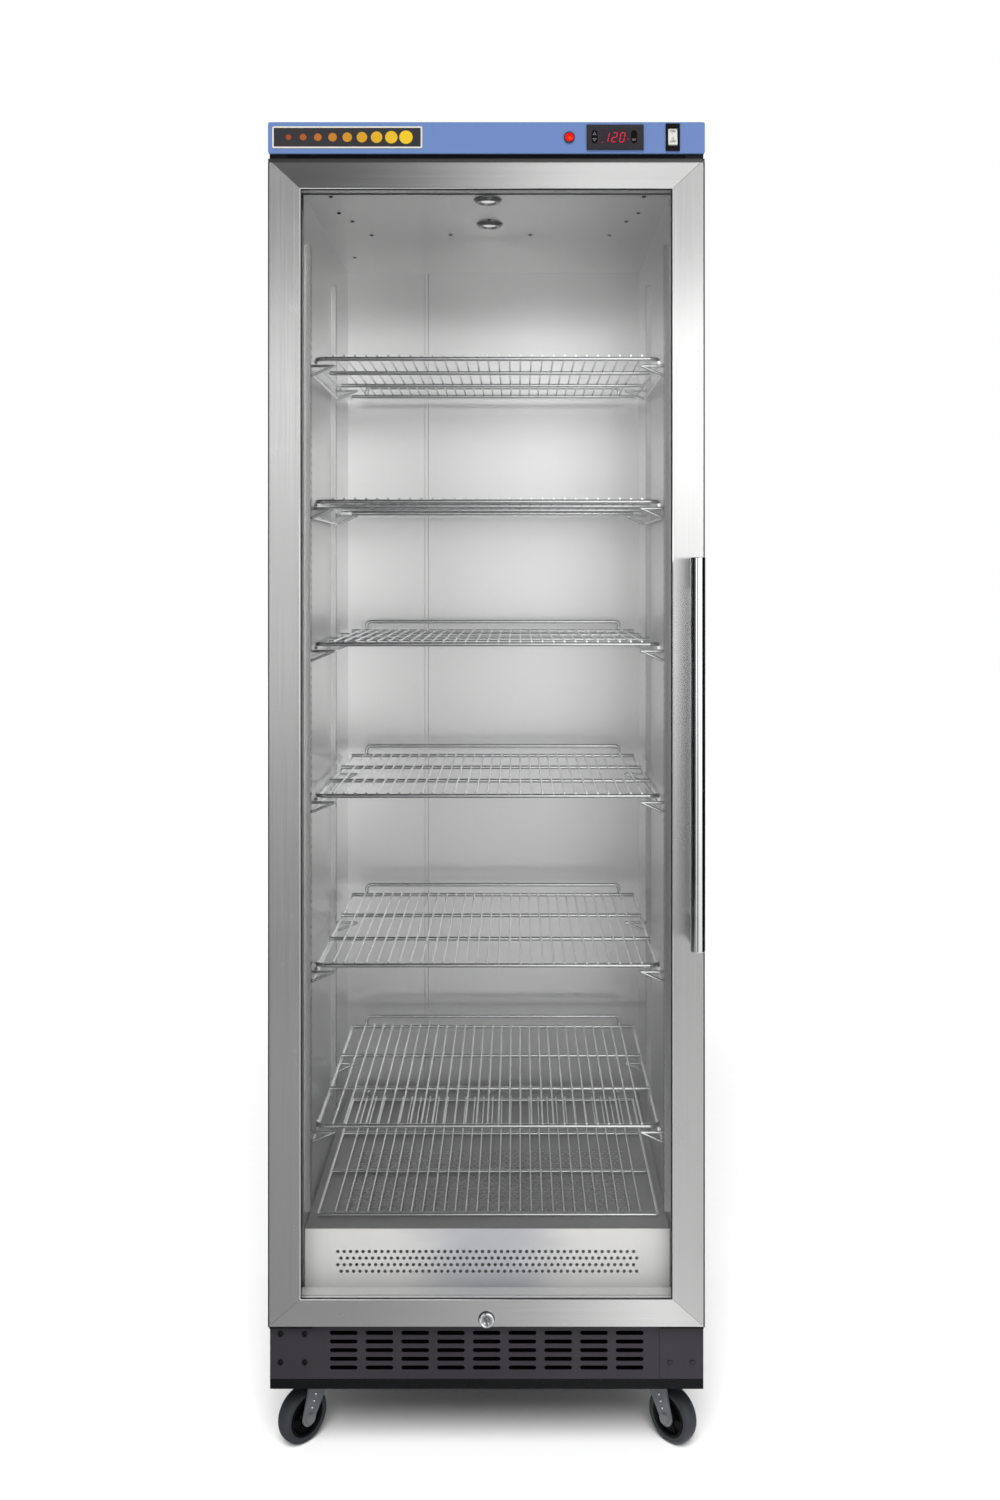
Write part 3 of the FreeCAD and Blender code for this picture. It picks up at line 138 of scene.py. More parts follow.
class Graph:
    """The node tree of one material."""

    def __init__(self, name: str) -> None:
        """Make an empty material of this name."""
        self.material = bpy.data.materials.new(name)
        self.material.use_nodes = True
        self.tree = self.material.node_tree
        self.tree.nodes.clear()
        self.place = self.node("ShaderNodeTexCoord").outputs["Object"]

    def node(self, kind: str, settings: dict | None = None, inputs: dict | None = None) -> bpy.types.Node:
        """Add a node.

        Args:
            kind: the node's type.
            settings: its properties, set first.
            inputs: values or links of its sockets, by name or number.

        Returns:
            The node.
        """
        node = self.tree.nodes.new(kind)
        for name, value in (settings or {}).items():
            setattr(node, name, value)
        for name, value in (inputs or {}).items():
            source = value.socket if isinstance(value, Value) else value
            if isinstance(source, bpy.types.NodeSocket):
                self.tree.links.new(source, node.inputs[name])
            else:
                node.inputs[name].default_value = source
        return node

    def axis(self, name: str) -> Value:
        """One of the Object coordinates, by its letter."""
        node = self.node("ShaderNodeSeparateXYZ", {}, {0: self.place})
        return Value(self, node.outputs[name])

    def noise(self, scale: Point | float, detail: float = 3.0, rough: float = 0.55) -> Value:
        """Noise on the Object coordinates.

        Args:
            scale: features to the metre, along each axis or the same along all.
            detail: number of finer octaves.
            rough: weight of the finer octaves.

        Returns:
            The noise, from 0 to 1.
        """
        scales = (scale,) * 3 if isinstance(scale, (int, float)) else scale
        mapping = self.node("ShaderNodeMapping", {}, {"Vector": self.place, "Scale": scales})
        node = self.node("ShaderNodeTexNoise", {}, {"Vector": mapping.outputs[0], "Scale": 1.0,
                                                    "Detail": detail, "Roughness": rough})
        return Value(self, node.outputs[0])

    def cells(self, scale: float) -> Value:
        """Distance to the nearest of scattered points, with this many points to the metre."""
        node = self.node("ShaderNodeTexVoronoi", {}, {"Vector": self.place, "Scale": scale})
        return Value(self, node.outputs["Distance"])

    def blend(self, amount: Value, first: Colour | bpy.types.NodeSocket,
              second: Colour | bpy.types.NodeSocket) -> bpy.types.NodeSocket:
        """Mix two colours by a value from 0 to 1."""
        node = self.node("ShaderNodeMix", {"data_type": "RGBA"}, {0: amount})
        for socket, colour in ((node.inputs[6], first), (node.inputs[7], second)):
            if isinstance(colour, bpy.types.NodeSocket):
                self.tree.links.new(colour, socket)
            else:
                socket.default_value = (*colour, 1.0)
        return node.outputs[2]

    def bump(self, height: Value, strength: float, depth: float) -> bpy.types.NodeSocket:
        """A normal from a height.

        Args:
            height: the relief, from 0 to 1.
            strength: how much of it is used.
            depth: what a height of 1 is, in metres.

        Returns:
            The Bump node's normal.
        """
        sockets = {"Height": height, "Strength": strength, "Distance": depth}
        return self.node("ShaderNodeBump", {}, sockets).outputs[0]

    def surface(self, inputs: dict, relief: bpy.types.NodeSocket | None = None) -> bpy.types.Node:
        """Add a Principled shader with these sockets and this normal."""
        if relief is not None:
            inputs = {**inputs, "Normal": relief}
        return self.node("ShaderNodeBsdfPrincipled", {}, inputs)

    def finish(self, shader: bpy.types.Node) -> bpy.types.Material:
        """Send the shader to the output and return the material."""
        out = self.node("ShaderNodeOutputMaterial")
        self.tree.links.new(shader.outputs[0], out.inputs["Surface"])
        return self.material


class Sky(Graph):
    """The node tree of the surroundings, by direction."""

    def __init__(self, name: str) -> None:
        """Make an empty world of this name."""
        self.world = bpy.data.worlds.new(name)
        self.world.use_nodes = True
        self.tree = self.world.node_tree
        self.tree.nodes.clear()
        self.place = self.node("ShaderNodeTexCoord").outputs["Generated"]
        self.rays = self.node("ShaderNodeLightPath").outputs

    def row(self, axis: str, stops: Sequence[tuple[float, float]]) -> Value:
        """Strength by direction along one axis.

        Args:
            axis: the axis's letter.
            stops: (direction, strength) pairs, with directions from -1 to 1.

        Returns:
            The strength, even between one stop and the next.
        """
        share = self.node("ShaderNodeMapRange", {}, {"Value": self.axis(axis), "From Min": -1.0})
        ramp = self.node("ShaderNodeValToRGB", {}, {0: share.outputs[0]})
        elements = ramp.color_ramp.elements
        while len(elements) < len(stops):
            elements.new(0.5)
        for element, (side, strength) in zip(elements, stops):
            element.position, element.color = (side + 1) / 2, (strength, strength, strength, 1.0)
        return Value(self, ramp.outputs[0])

    def choose(self, ray: str, otherwise: Value | float, chosen: Value | float) -> Value:
        """Pick a strength by the kind of ray, which has a socket of this name."""
        node = self.node("ShaderNodeMix", {"data_type": "FLOAT"},
                         {0: self.rays[ray], 2: otherwise, 3: chosen})
        return Value(self, node.outputs[0])

    def light(self, strength: Value) -> None:
        """Light the scene with white of this strength."""
        back = self.node("ShaderNodeBackground", {},
                         {"Color": (1.0, 1.0, 1.0, 1.0), "Strength": strength})
        self.node("ShaderNodeOutputWorld", {}, {"Surface": back.outputs[0]})
        bpy.context.scene.world = self.world


# ---- Finishes ----
class Finish:
    """A surface's look, which makes its material once."""

    def build(self) -> bpy.types.Material:
        """Build the material."""
        raise NotImplementedError

    @cache
    def material(self) -> bpy.types.Material:
        """The finish's material, built when it is first asked for."""
        return self.build()


@dataclass(frozen=True)
class BrushedSteel(Finish):
    """Stainless sheet with a fine grain one way, cloudy handling marks and a few scratches."""

    name: str
    grain: Grain
    tone: float = 0.60
    roughness: float = 0.24
    depth: float = 0.20
    marks: float = 0.03
    drawn: float = 0.88
    metal: float = 1.0
    streaks: float = 0.085

    def build(self) -> bpy.types.Material:
        """Build the material."""
        graph = Graph(self.name)
        grain = graph.noise(self.grain.value, 4.0, 0.65)
        hairs = graph.noise(tuple(scale * 0.32 for scale in self.grain.value), 2.0)
        clouds = graph.noise(2.6, 2.0)
        prints = graph.noise(21.0, 4.0, 0.62).ramp(0.5, 0.85)
        lines = grain * 0.65 + hairs * 0.35
        tone = self.tone
        shade = lines.ramp(0.2, 0.8) * 0.75 + clouds * 0.25
        low, high = tone * (1 - self.streaks), tone * (1 + 0.8 * self.streaks)
        dark, light = (low, low, low * 0.997), (high, high, high * 0.995)
        rough = (self.roughness - self.streaks / 2 + lines * self.streaks + prints * self.marks
                 + clouds * 0.02)
        return graph.finish(graph.surface(
            {"Base Color": graph.blend(shade, dark, light), "Metallic": self.metal, "Roughness": rough,
             "Anisotropic": self.drawn,
             "Anisotropic Rotation": 0.25 if self.grain is Grain.ALONG_X else 0.0},
            graph.bump(lines, self.depth, 0.00003)))


@dataclass(frozen=True)
class CoverSteel(Finish):
    """Bright satin sheet of the heated floor, with a painted blue-grey reflection across the middle of
    its front and a painted shade that darkens its top face.
    """

    name: str
    pale: Colour = (0.99, 0.985, 0.965)
    painted_reflection_blue: Colour = (0.58, 0.59, 0.64)
    painted_top_shade: Colour = (0.36, 0.36, 0.36)
    top: float = 310.5 * MM
    painted_reflection_half: tuple[float, float] = (0.02, 0.15)

    def build(self) -> bpy.types.Material:
        """Build the material."""
        graph = Graph(self.name)
        grain = graph.noise(Grain.ALONG_X.value, 4.0, 0.65)
        cloud = graph.noise((6.0, 20.0, 20.0), 3.0)
        # painted reflection: a blue-grey band across the middle of the front
        middle = 1 - abs(graph.axis("X") + (cloud - 0.5) * 0.12).ramp(*self.painted_reflection_half)
        sheet = graph.blend(middle * 0.8 + (grain - 0.5) * 0.3, self.pale, self.painted_reflection_blue)
        # painted shade: the top face's colour is darker than the front's
        above = graph.axis("Z").ramp(self.top - 1 * MM, self.top)
        return graph.finish(graph.surface(
            {"Base Color": graph.blend(above, sheet, self.painted_top_shade), "Metallic": 0.02 + above * 0.6,
             "Roughness": 0.34 + grain * 0.08, "Anisotropic": 0.5, "Anisotropic Rotation": 0.25},
            graph.bump(grain, 0.12, 0.00003)))


@dataclass(frozen=True)
class PolishedSteel(Finish):
    """Polished or plated bar, with hazy polishing marks."""

    name: str
    tone: float = 0.78
    roughness: float = 0.09
    cool: float = 0.01

    def build(self) -> bpy.types.Material:
        """Build the material."""
        graph = Graph(self.name)
        haze = graph.noise(34.0, 4.0)
        fine = graph.noise(420.0, 2.0)
        pits = graph.noise(1500.0, 1.0).ramp(0.72, 0.8)
        tone = self.tone
        dark = (tone * 0.93 - self.cool, tone * 0.93, tone * 0.93 + self.cool)
        light = (tone - self.cool, tone, tone + self.cool)
        return graph.finish(graph.surface(
            {"Base Color": graph.blend(haze, dark, light), "Metallic": 1.0,
             "Roughness": self.roughness + haze.ramp(0.45, 0.8) * 0.08 + pits * 0.05},
            graph.bump(fine * 0.7 + pits * 0.3, 0.05, 0.00002)))


@dataclass(frozen=True)
class Enamel(Finish):
    """Baked powder coat: a colour with orange peel, a little dust and polished patches."""

    name: str
    colour: Colour
    roughness: float = 0.35
    peel: float = 900.0
    depth: float = 0.25
    dust: float = 0.05
    gloss: float = 0.5

    def build(self) -> bpy.types.Material:
        """Build the material."""
        graph = Graph(self.name)
        peel = graph.noise(self.peel, 2.0)
        cloud = graph.noise(7.0, 4.0)
        specks = graph.noise(1300.0, 2.0).ramp(0.66, 0.78)
        deep = tuple(channel * 0.92 for channel in self.colour)
        worn = tuple(channel * 0.94 + self.dust for channel in self.colour)
        amount = cloud.ramp(0.35, 0.7) * 0.5 + specks * 0.5
        return graph.finish(graph.surface(
            {"Base Color": graph.blend(amount, deep, worn), "Specular IOR Level": self.gloss,
             "Roughness": self.roughness + cloud * 0.10 + peel * 0.05},
            graph.bump(peel, self.depth, 0.00012)))


@dataclass(frozen=True)
class TexturedEnamel(Finish):
    """Coarse wrinkled powder coat of the base beam."""

    name: str
    colour: Colour

    def build(self) -> bpy.types.Material:
        """Build the material."""
        graph = Graph(self.name)
        wrinkle = graph.cells(520.0) * 0.6 + graph.noise(900.0, 3.0) * 0.4
        crown = wrinkle.ramp(0.15, 0.55)
        light = tuple(channel * 2.2 + 0.004 for channel in self.colour)
        return graph.finish(graph.surface(
            {"Base Color": graph.blend(crown, light, self.colour), "Specular IOR Level": 0.2,
             "Roughness": 0.42 + crown * 0.25},
            graph.bump(1 - wrinkle, 0.55, 0.0003)))


@dataclass(frozen=True)
class Moulded(Finish):
    """Moulded plastic or rubber with a spark-eroded texture and rubbed patches."""

    name: str
    colour: Colour
    roughness: float = 0.5
    texture: float = 1400.0
    depth: float = 0.2
    gloss: float = 0.3

    def build(self) -> bpy.types.Material:
        """Build the material."""
        graph = Graph(self.name)
        grit = graph.noise(self.texture, 3.0)
        rub = graph.noise(48.0, 3.0).ramp(0.4, 0.75)
        light = tuple(channel * 1.15 + 0.003 for channel in self.colour)
        return graph.finish(graph.surface(
            {"Base Color": graph.blend(grit * 0.5 + rub * 0.5, self.colour, light),
             "Roughness": self.roughness - rub * 0.08 + grit * 0.06, "Specular IOR Level": self.gloss},
            graph.bump(grit, self.depth, 0.00008)))


@dataclass(frozen=True)
class Glow(Finish):
    """A lit or translucent colour, mottled a little."""

    name: str
    colour: Colour
    strength: float
    roughness: float = 0.15
    base: Colour = (0.5, 0.02, 0.015)
    hot: Colour | None = None
    hot_place: tuple[float, float] = (0.0, 0.0)
    hot_radius: float = 3 * MM

    def build(self) -> bpy.types.Material:
        """Build the material; a hot spot fades with the distance from its X and Z."""
        graph = Graph(self.name)
        mottle = graph.noise(350.0, 2.0)
        dim = tuple(channel * 0.8 for channel in self.colour)
        glow = graph.blend(mottle.ramp(0.3, 0.7), self.colour, dim)
        if self.hot:
            across, up = (graph.axis(name) - middle for name, middle in zip("XZ", self.hot_place))
            away = (across ** 2.0 + up ** 2.0) ** 0.5
            glow = graph.blend(away.ramp(0.1 * self.hot_radius, self.hot_radius), self.hot, glow)
        return graph.finish(graph.surface(
            {"Base Color": graph.blend(mottle, self.base, tuple(channel * 0.8 for channel in self.base)),
             "Roughness": self.roughness + mottle * 0.06, "Specular IOR Level": 0.25,
             "Emission Color": glow, "Emission Strength": self.strength},
            graph.bump(mottle, 0.05, 0.0001)))


@dataclass(frozen=True)
class ClearGlass(Finish):
    """Toughened glass: clear from the front and glossier at a slant, with a faint smear."""

    name: str
    tint: Colour = (0.997, 0.997, 0.997)

    def build(self) -> bpy.types.Material:
        """Build the material."""
        graph = Graph(self.name)
        smear = graph.noise(9.0, 4.0).ramp(0.5, 0.8)
        clear = graph.node("ShaderNodeBsdfTransparent", {}, {"Color": (*self.tint, 1.0)})
        gloss = graph.surface(
            {"Base Color": (0.93, 0.935, 0.935, 1.0), "Roughness": 0.02 + smear * 0.05, "Metallic": 1.0})
        edge = graph.node("ShaderNodeFresnel", {}, {"IOR": 1.4})
        amount = Value(graph, edge.outputs[0]) * 0.55 + smear * 0.004
        mix = graph.node("ShaderNodeMixShader", {}, {0: amount, 1: clear.outputs[0], 2: gloss.outputs[0]})
        return graph.finish(mix)


@dataclass(frozen=True)
class Fleece(Finish):
    """Mineral wool slab: matted yellow fibre."""

    name: str

    def build(self) -> bpy.types.Material:
        """Build the material."""
        graph = Graph(self.name)
        fibre = graph.noise((260.0, 260.0, 40.0), 5.0, 0.7)
        clump = graph.noise(18.0, 3.0)
        return graph.finish(graph.surface(
            {"Base Color": graph.blend(fibre * 0.6 + clump * 0.4, (0.55, 0.45, 0.22), (0.83, 0.76, 0.52)),
             "Roughness": 0.88 + fibre * 0.1}, graph.bump(fibre, 0.6, 0.002)))


@dataclass(frozen=True)
class ZincPlate(Finish):
    """Dull zinc plating with a faint crystal pattern."""

    name: str
    tone: float

    def build(self) -> bpy.types.Material:
        """Build the material."""
        graph = Graph(self.name)
        crystal = graph.cells(90.0).ramp(0.1, 0.7)
        fine = graph.noise(600.0, 3.0)
        dark = tuple(self.tone * share for share in (0.80, 0.81, 0.84))
        light = tuple(self.tone * share for share in (1.12, 1.13, 1.14))
        return graph.finish(graph.surface(
            {"Base Color": graph.blend(crystal * 0.6 + fine * 0.4, dark, light), "Metallic": 0.9,
             "Roughness": 0.36 + fine * 0.16}, graph.bump(fine, 0.15, 0.0001)))


@dataclass(frozen=True)
class ScrewPlate(Finish):
    """Screws: black at the front left, painted as their panel at the right, zinc plated at the back."""

    name: str
    black: Colour = (0.0006, 0.0006, 0.0008)
    painted: Colour = (0.020, 0.018, 0.022)

    def build(self) -> bpy.types.Material:
        """Build the material."""
        graph = Graph(self.name)
        fine = graph.noise(700.0, 3.0)
        back = graph.axis("Y").ramp(-0.05, 0.05)
        zinc = graph.blend(fine, (0.30, 0.305, 0.31), (0.42, 0.42, 0.43))
        dark = graph.blend(graph.axis("X").ramp(-0.01, 0.01), self.black, self.painted)
        return graph.finish(graph.surface(
            {"Base Color": graph.blend(back, dark, zinc), "Metallic": back,
             "Roughness": 0.18 + back * 0.2 + fine * 0.06, "Coat Weight": 0.15 - back * 0.15,
             "Coat Roughness": 0.05, "Specular IOR Level": 0.25}, graph.bump(fine, 0.1, 0.00005)))


@dataclass(frozen=True)
class HeatTint(Finish):
    """Heater tube, straw and blue from its heat."""

    name: str

    def build(self) -> bpy.types.Material:
        """Build the material."""
        graph = Graph(self.name)
        band = (graph.axis("X") * 38.0).wave() * 0.5 + 0.5
        fine = graph.noise(300.0, 3.0)
        tint = graph.blend(band, (0.34, 0.29, 0.24), (0.27, 0.28, 0.36))
        return graph.finish(graph.surface(
            {"Base Color": graph.blend(fine * 0.5, (0.36, 0.31, 0.26), tint), "Metallic": 0.9,
             "Roughness": 0.34 + fine * 0.2}, graph.bump(fine, 0.2, 0.0001)))


# ---- Surfaces worked out on grids ----
class Shell:
    """Vertices and faces of one piece, gathered from whole arrays."""

    def __init__(self) -> None:
        """Start empty."""
        self.points: list[np.ndarray] = []
        self.faces: list[list[int]] = []
        self.count = 0

    def add(self, points: np.ndarray, faces: Iterable[Sequence[int]]) -> "Shell":
        """Add vertices and the faces that number them from 0, and return the shell."""
        points = np.asarray(points, dtype=float).reshape(-1, 3)
        self.points.append(points)
        self.faces += [[int(index) + self.count for index in face] for face in faces]
        self.count += len(points)
        return self

    def tube(self, rings: np.ndarray, closed: bool = False) -> "Shell":
        """Add a surface through rings of points, each ring a closed loop.

        Args:
            rings: an array of (ring, point, 3); the faces join each ring to the next, point by point.
            closed: whether the last ring joins the first; otherwise both end rings are capped.

        Returns:
            The shell.
        """
        rows, columns = rings.shape[:2]
        index = np.arange(rows * columns).reshape(rows, columns)
        here = index if closed else index[:-1]
        after = np.roll(index, -1, axis=0) if closed else index[1:]
        quads = np.stack([here, np.roll(here, -1, axis=1), np.roll(after, -1, axis=1), after], axis=-1)
        faces = quads.reshape(-1, 4).tolist()
        if not closed:
            faces += [index[0, ::-1].tolist(), index[-1].tolist()]
        return self.add(rings, faces)

    def slab(self, outline: np.ndarray, place: Plane, low: float, high: float) -> "Shell":
        """Add a flat plate of this outline between two rises, and return the shell."""
        return self.tube(np.stack([place(outline, np.full(len(outline), rise)) for rise in (low, high)]))

    def piece(self, name: str, body: str, slot: str, finish: Finish,
              smooth: bool = True, replaces: Sequence[str] = ()) -> None:
        """Make the object, turn its faces outwards and put it on its body.

        Args:
            name: the piece's name.
            body: the body that it moves with.
            slot: the material slot that its finish belongs to; not used.
            finish: its look.
            smooth: whether faces that meet at less than SHARP degrees are shaded as one.
            replaces: the frame's nodes that it stands for.
        """
        mesh = bpy.data.meshes.new(name)
        mesh.from_pydata(np.concatenate(self.points).tolist(), [], self.faces)
        work = bmesh.new()
        work.from_mesh(mesh)
        bmesh.ops.recalc_face_normals(work, faces=work.faces)
        work.to_mesh(mesh)
        work.free()
        if smooth:
            mesh.shade_smooth()
            mesh.set_sharp_from_angle(angle=math.radians(SHARP))
        mesh.materials.append(finish.material())
        piece = bpy.data.objects.new(name, mesh)
        bpy.context.scene.collection.objects.link(piece)
        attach(piece, body)
        if replaces:
            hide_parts(*replaces)
        LOG.info("%s on %s: %d faces", name, body, len(mesh.polygons))


def circle(sides: int) -> np.ndarray:
    """Cosines and sines of equal steps round a full turn, as an array of (step, 2)."""
    turn = np.linspace(0.0, 2 * np.pi, sides, endpoint=False)
    return np.stack([np.cos(turn), np.sin(turn)], axis=-1)


def frame_of(axis: Sequence[float]) -> tuple[np.ndarray, np.ndarray, np.ndarray]:
    """A unit axis and two unit vectors square to it."""
    along = np.asarray(axis, dtype=float)
    along /= np.linalg.norm(along)
    helper = np.array([0.0, 0.0, 1.0]) if abs(along[2]) < 0.9 else np.array([1.0, 0.0, 0.0])
    side = np.cross(helper, along)
    side /= np.linalg.norm(side)
    return along, side, np.cross(along, side)


def turned(profile: Sequence[tuple[float, float]], centre: Sequence[float], axis: Sequence[float],
           sides: int) -> np.ndarray:
    """Rings of a turned shape: at each step of the profile, centre + axis * height + radius * direction.

    Args:
        profile: (radius, height) pairs; a radius near 0 at both ends closes the shape.
        centre: where height is 0.
        axis: the direction of height.
        sides: points round each ring.

    Returns:
        An array of (profile step, side, 3).
    """
    along, side, other = frame_of(axis)
    steps = np.asarray(profile, dtype=float)
    ring = circle(sides)
    spread = ring[:, :1] * side + ring[:, 1:] * other
    return np.asarray(centre) + steps[:, 1, None, None] * along + steps[:, 0, None, None] * spread


def oblong(width: float, height: float, steps: int = 10) -> np.ndarray:
    """A round-ended outline centred on 0, wound anticlockwise, as an array of (point, 2).

    Each end is a half circle of the shorter side's radius, swept in equal angles.
    """
    radius, run = min(width, height) / 2, (max(width, height) - min(width, height)) / 2
    turn = np.linspace(-np.pi / 2, np.pi / 2, steps)
    right = np.stack([run + radius * np.cos(turn), radius * np.sin(turn)], axis=-1)
    points = np.concatenate([right, -right])
    return points if width >= height else points[:, ::-1] * (1, -1)


def offset(outline: np.ndarray, distance: float) -> np.ndarray:
    """Move a closed, anticlockwise outline outwards: each point along the mean of its sides' normals."""
    before, after = outline - np.roll(outline, 1, axis=0), np.roll(outline, -1, axis=0) - outline
    normals = [np.stack([side[:, 1], -side[:, 0]], axis=-1)
               / np.linalg.norm(side, axis=1, keepdims=True) for side in (before, after)]
    mean = normals[0] + normals[1]
    mean /= (mean * normals[0]).sum(axis=1, keepdims=True)
    return outline + mean * distance


def beading(outline: np.ndarray, place: Plane, section: np.ndarray) -> np.ndarray:
    """Rings of a profile carried round a flat outline.

    At each point of the outline the section's first number moves outwards in the outline's plane
    and its second rises from it; place turns (flat point, rise) into space.

    Args:
        outline: the path, as (point, 2), anticlockwise.
        place: the plane that the outline lies in.
        section: the closed profile, as (point, 2).

    Returns:
        An array of (outline point, section point, 3).
    """
    return np.stack([place(offset(outline, out), np.full(len(outline), rise)) for out, rise in section],
                    axis=1)


def front_plane(centre: Point) -> Plane:
    """An upright plane at centre that faces -Y: flat x is +X, flat y is +Z and rise is towards -Y."""
    def place(flat: np.ndarray, rise: np.ndarray) -> np.ndarray:
        """Put flat points with their rises into space."""
        return np.stack([centre[0] + flat[:, 0], centre[1] - rise, centre[2] + flat[:, 1]], axis=-1)
    return place


def front_of(node: str) -> tuple[Point, np.ndarray]:
    """The middle of the front of a node's box, and half its width and height."""
    low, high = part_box(node)
    half = np.array([(high[0] - low[0]) / 2, (high[2] - low[2]) / 2])
    return ((low[0] + high[0]) / 2, low[1], (low[2] + high[2]) / 2), half


def lettering(text: str, height: float, depth: float) -> tuple[np.ndarray, list[list[int]]]:
    """The letters of a word as a closed mesh, centred on 0.

    Args:
        text: the word.
        height: height of its letters.
        depth: their thickness.

    Returns:
        Points as (point, 3), x along the word, y up and z out, and faces.
    """
    boldness = 0.018
    curve = bpy.data.curves.new("word", "FONT")
    curve.body, curve.size, curve.extrude, curve.resolution_u, curve.offset = text, 1.0, 0.5, 3, boldness
    word = bpy.data.objects.new("word", curve)
    bpy.context.scene.collection.objects.link(word)
    mesh = bpy.data.meshes.new_from_object(word.evaluated_get(bpy.context.evaluated_depsgraph_get()))
    work = bmesh.new()
    work.from_mesh(mesh)
    bmesh.ops.remove_doubles(work, verts=work.verts, dist=1e-5)
    work.verts.ensure_lookup_table()
    points = np.array([vertex.co[:] for vertex in work.verts])
    faces = [[vertex.index for vertex in face.verts] for face in work.faces]
    work.free()
    bpy.data.objects.remove(word)
    bpy.data.meshes.remove(mesh)
    bpy.data.curves.remove(curve)
    low, high = points.min(axis=0), points.max(axis=0)
    points = (points - (low + high) / 2) * (height / (high[1] - low[1]))
    points[:, 2] = np.sign(points[:, 2]) * depth / 2
    return points, faces


# ---- Sub-assemblies ----
def dress(finish: Finish, *nodes: str) -> None:
    """Give the frame's nodes this finish."""
    for name in nodes:
        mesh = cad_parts[name].data
        mesh.materials.clear()
        mesh.materials.append(finish.material())
        LOG.info("%s wears %s", name, finish.name)


@dataclass
class Body:
    """Stainless skins, lining and insulation, with the back wall's lapped seam."""

    sheet: float = 1 * MM
    seam_x: float = -119 * MM
    seam_width: float = 7 * MM
    seam_rise: float = 0.7 * MM

    def build(self) -> None:
        """Dress the panels and add the seam."""
        dress(BrushedSteel("side_panel_steel", Grain.ALONG_Z, 0.68, 0.30, metal=0.30), "outer_panels")
        dress(BrushedSteel("back_panel_steel", Grain.ALONG_Z, 0.62, 0.36, metal=0.30), "back_panel")
        dress(BrushedSteel("front_frame_steel", Grain.ALONG_Z, 0.52, 0.32), "front_frame")
        lining = BrushedSteel("lining_steel", Grain.ALONG_Z, 0.92, 0.30, 0.01, 0.0, 0.6, 0.90, 0.012)
        dress(lining, "liner_panels")
        dress(Fleece("mineral_wool"), "insulation")
        self.seam(lining)

    def seam(self, lining: Finish) -> None:
        """A shallow strip up the back wall: its section is a flat top with sloping sides."""
        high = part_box("liner_panels")[1]
        wall = high[1] - self.sheet
        half, rise = self.seam_width / 2, self.seam_rise
        section = np.array([(-half, 0.0), (-half + rise, -rise), (half - rise, -rise), (half, 0.0)])
        heights = np.array([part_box("floor_cover")[1][2], high[2] - 2 * MM])
        rings = np.stack([np.stack([self.seam_x + section[:, 0], wall + section[:, 1],
                                    np.full(4, height)], axis=-1) for height in heights])
        Shell().tube(rings).piece("lining_seam", "cabinet", "liner_stainless", lining, smooth=False)


@dataclass
class Base:
    """Black base beam and louvred kick panel, with the louvres' rolled rims."""

    columns: int = 9
    rows: int = 5
    pitch_x: float = 49.5 * MM
    pitch_z: float = 12.0 * MM
    top: float = 185.5 * MM
    slot: tuple[float, float] = (38.5 * MM, 6.2 * MM)
    rim: float = 0.35 * MM

    def build(self) -> None:
        """Dress the base and roll the louvres' rims."""
        black = Enamel("kick_panel_enamel", (0.022, 0.0195, 0.025), 0.40, 800.0, 0.2, 0.006, 0.35)
        dress(black, "kick_panels")
        dress(TexturedEnamel("base_beam_enamel", (0.0012, 0.0014, 0.002)), "base_tray")
        dress(Enamel("hinge_bracket_enamel", (0.003, 0.003, 0.004), 0.3, 900.0, 0.2, 0.002, 0.2),
              "hinge_brackets")
        worn = Enamel("louvre_rim_enamel", (0.030, 0.027, 0.033), 0.32, 700.0, 0.2, 0.01)
        shell = Shell()
        outline = offset(oblong(*self.slot), self.rim)
        section = circle(6) * self.rim
        for column in range(self.columns):
            for row in range(self.rows):
                x = (column - (self.columns - 1) / 2) * self.pitch_x
                z = self.top - row * self.pitch_z
                shell.tube(beading(outline, front_plane((x, KICK_FACE, z)), section), closed=True)
        shell.piece("louvre_rims", "cabinet", "black_enamel", worn)


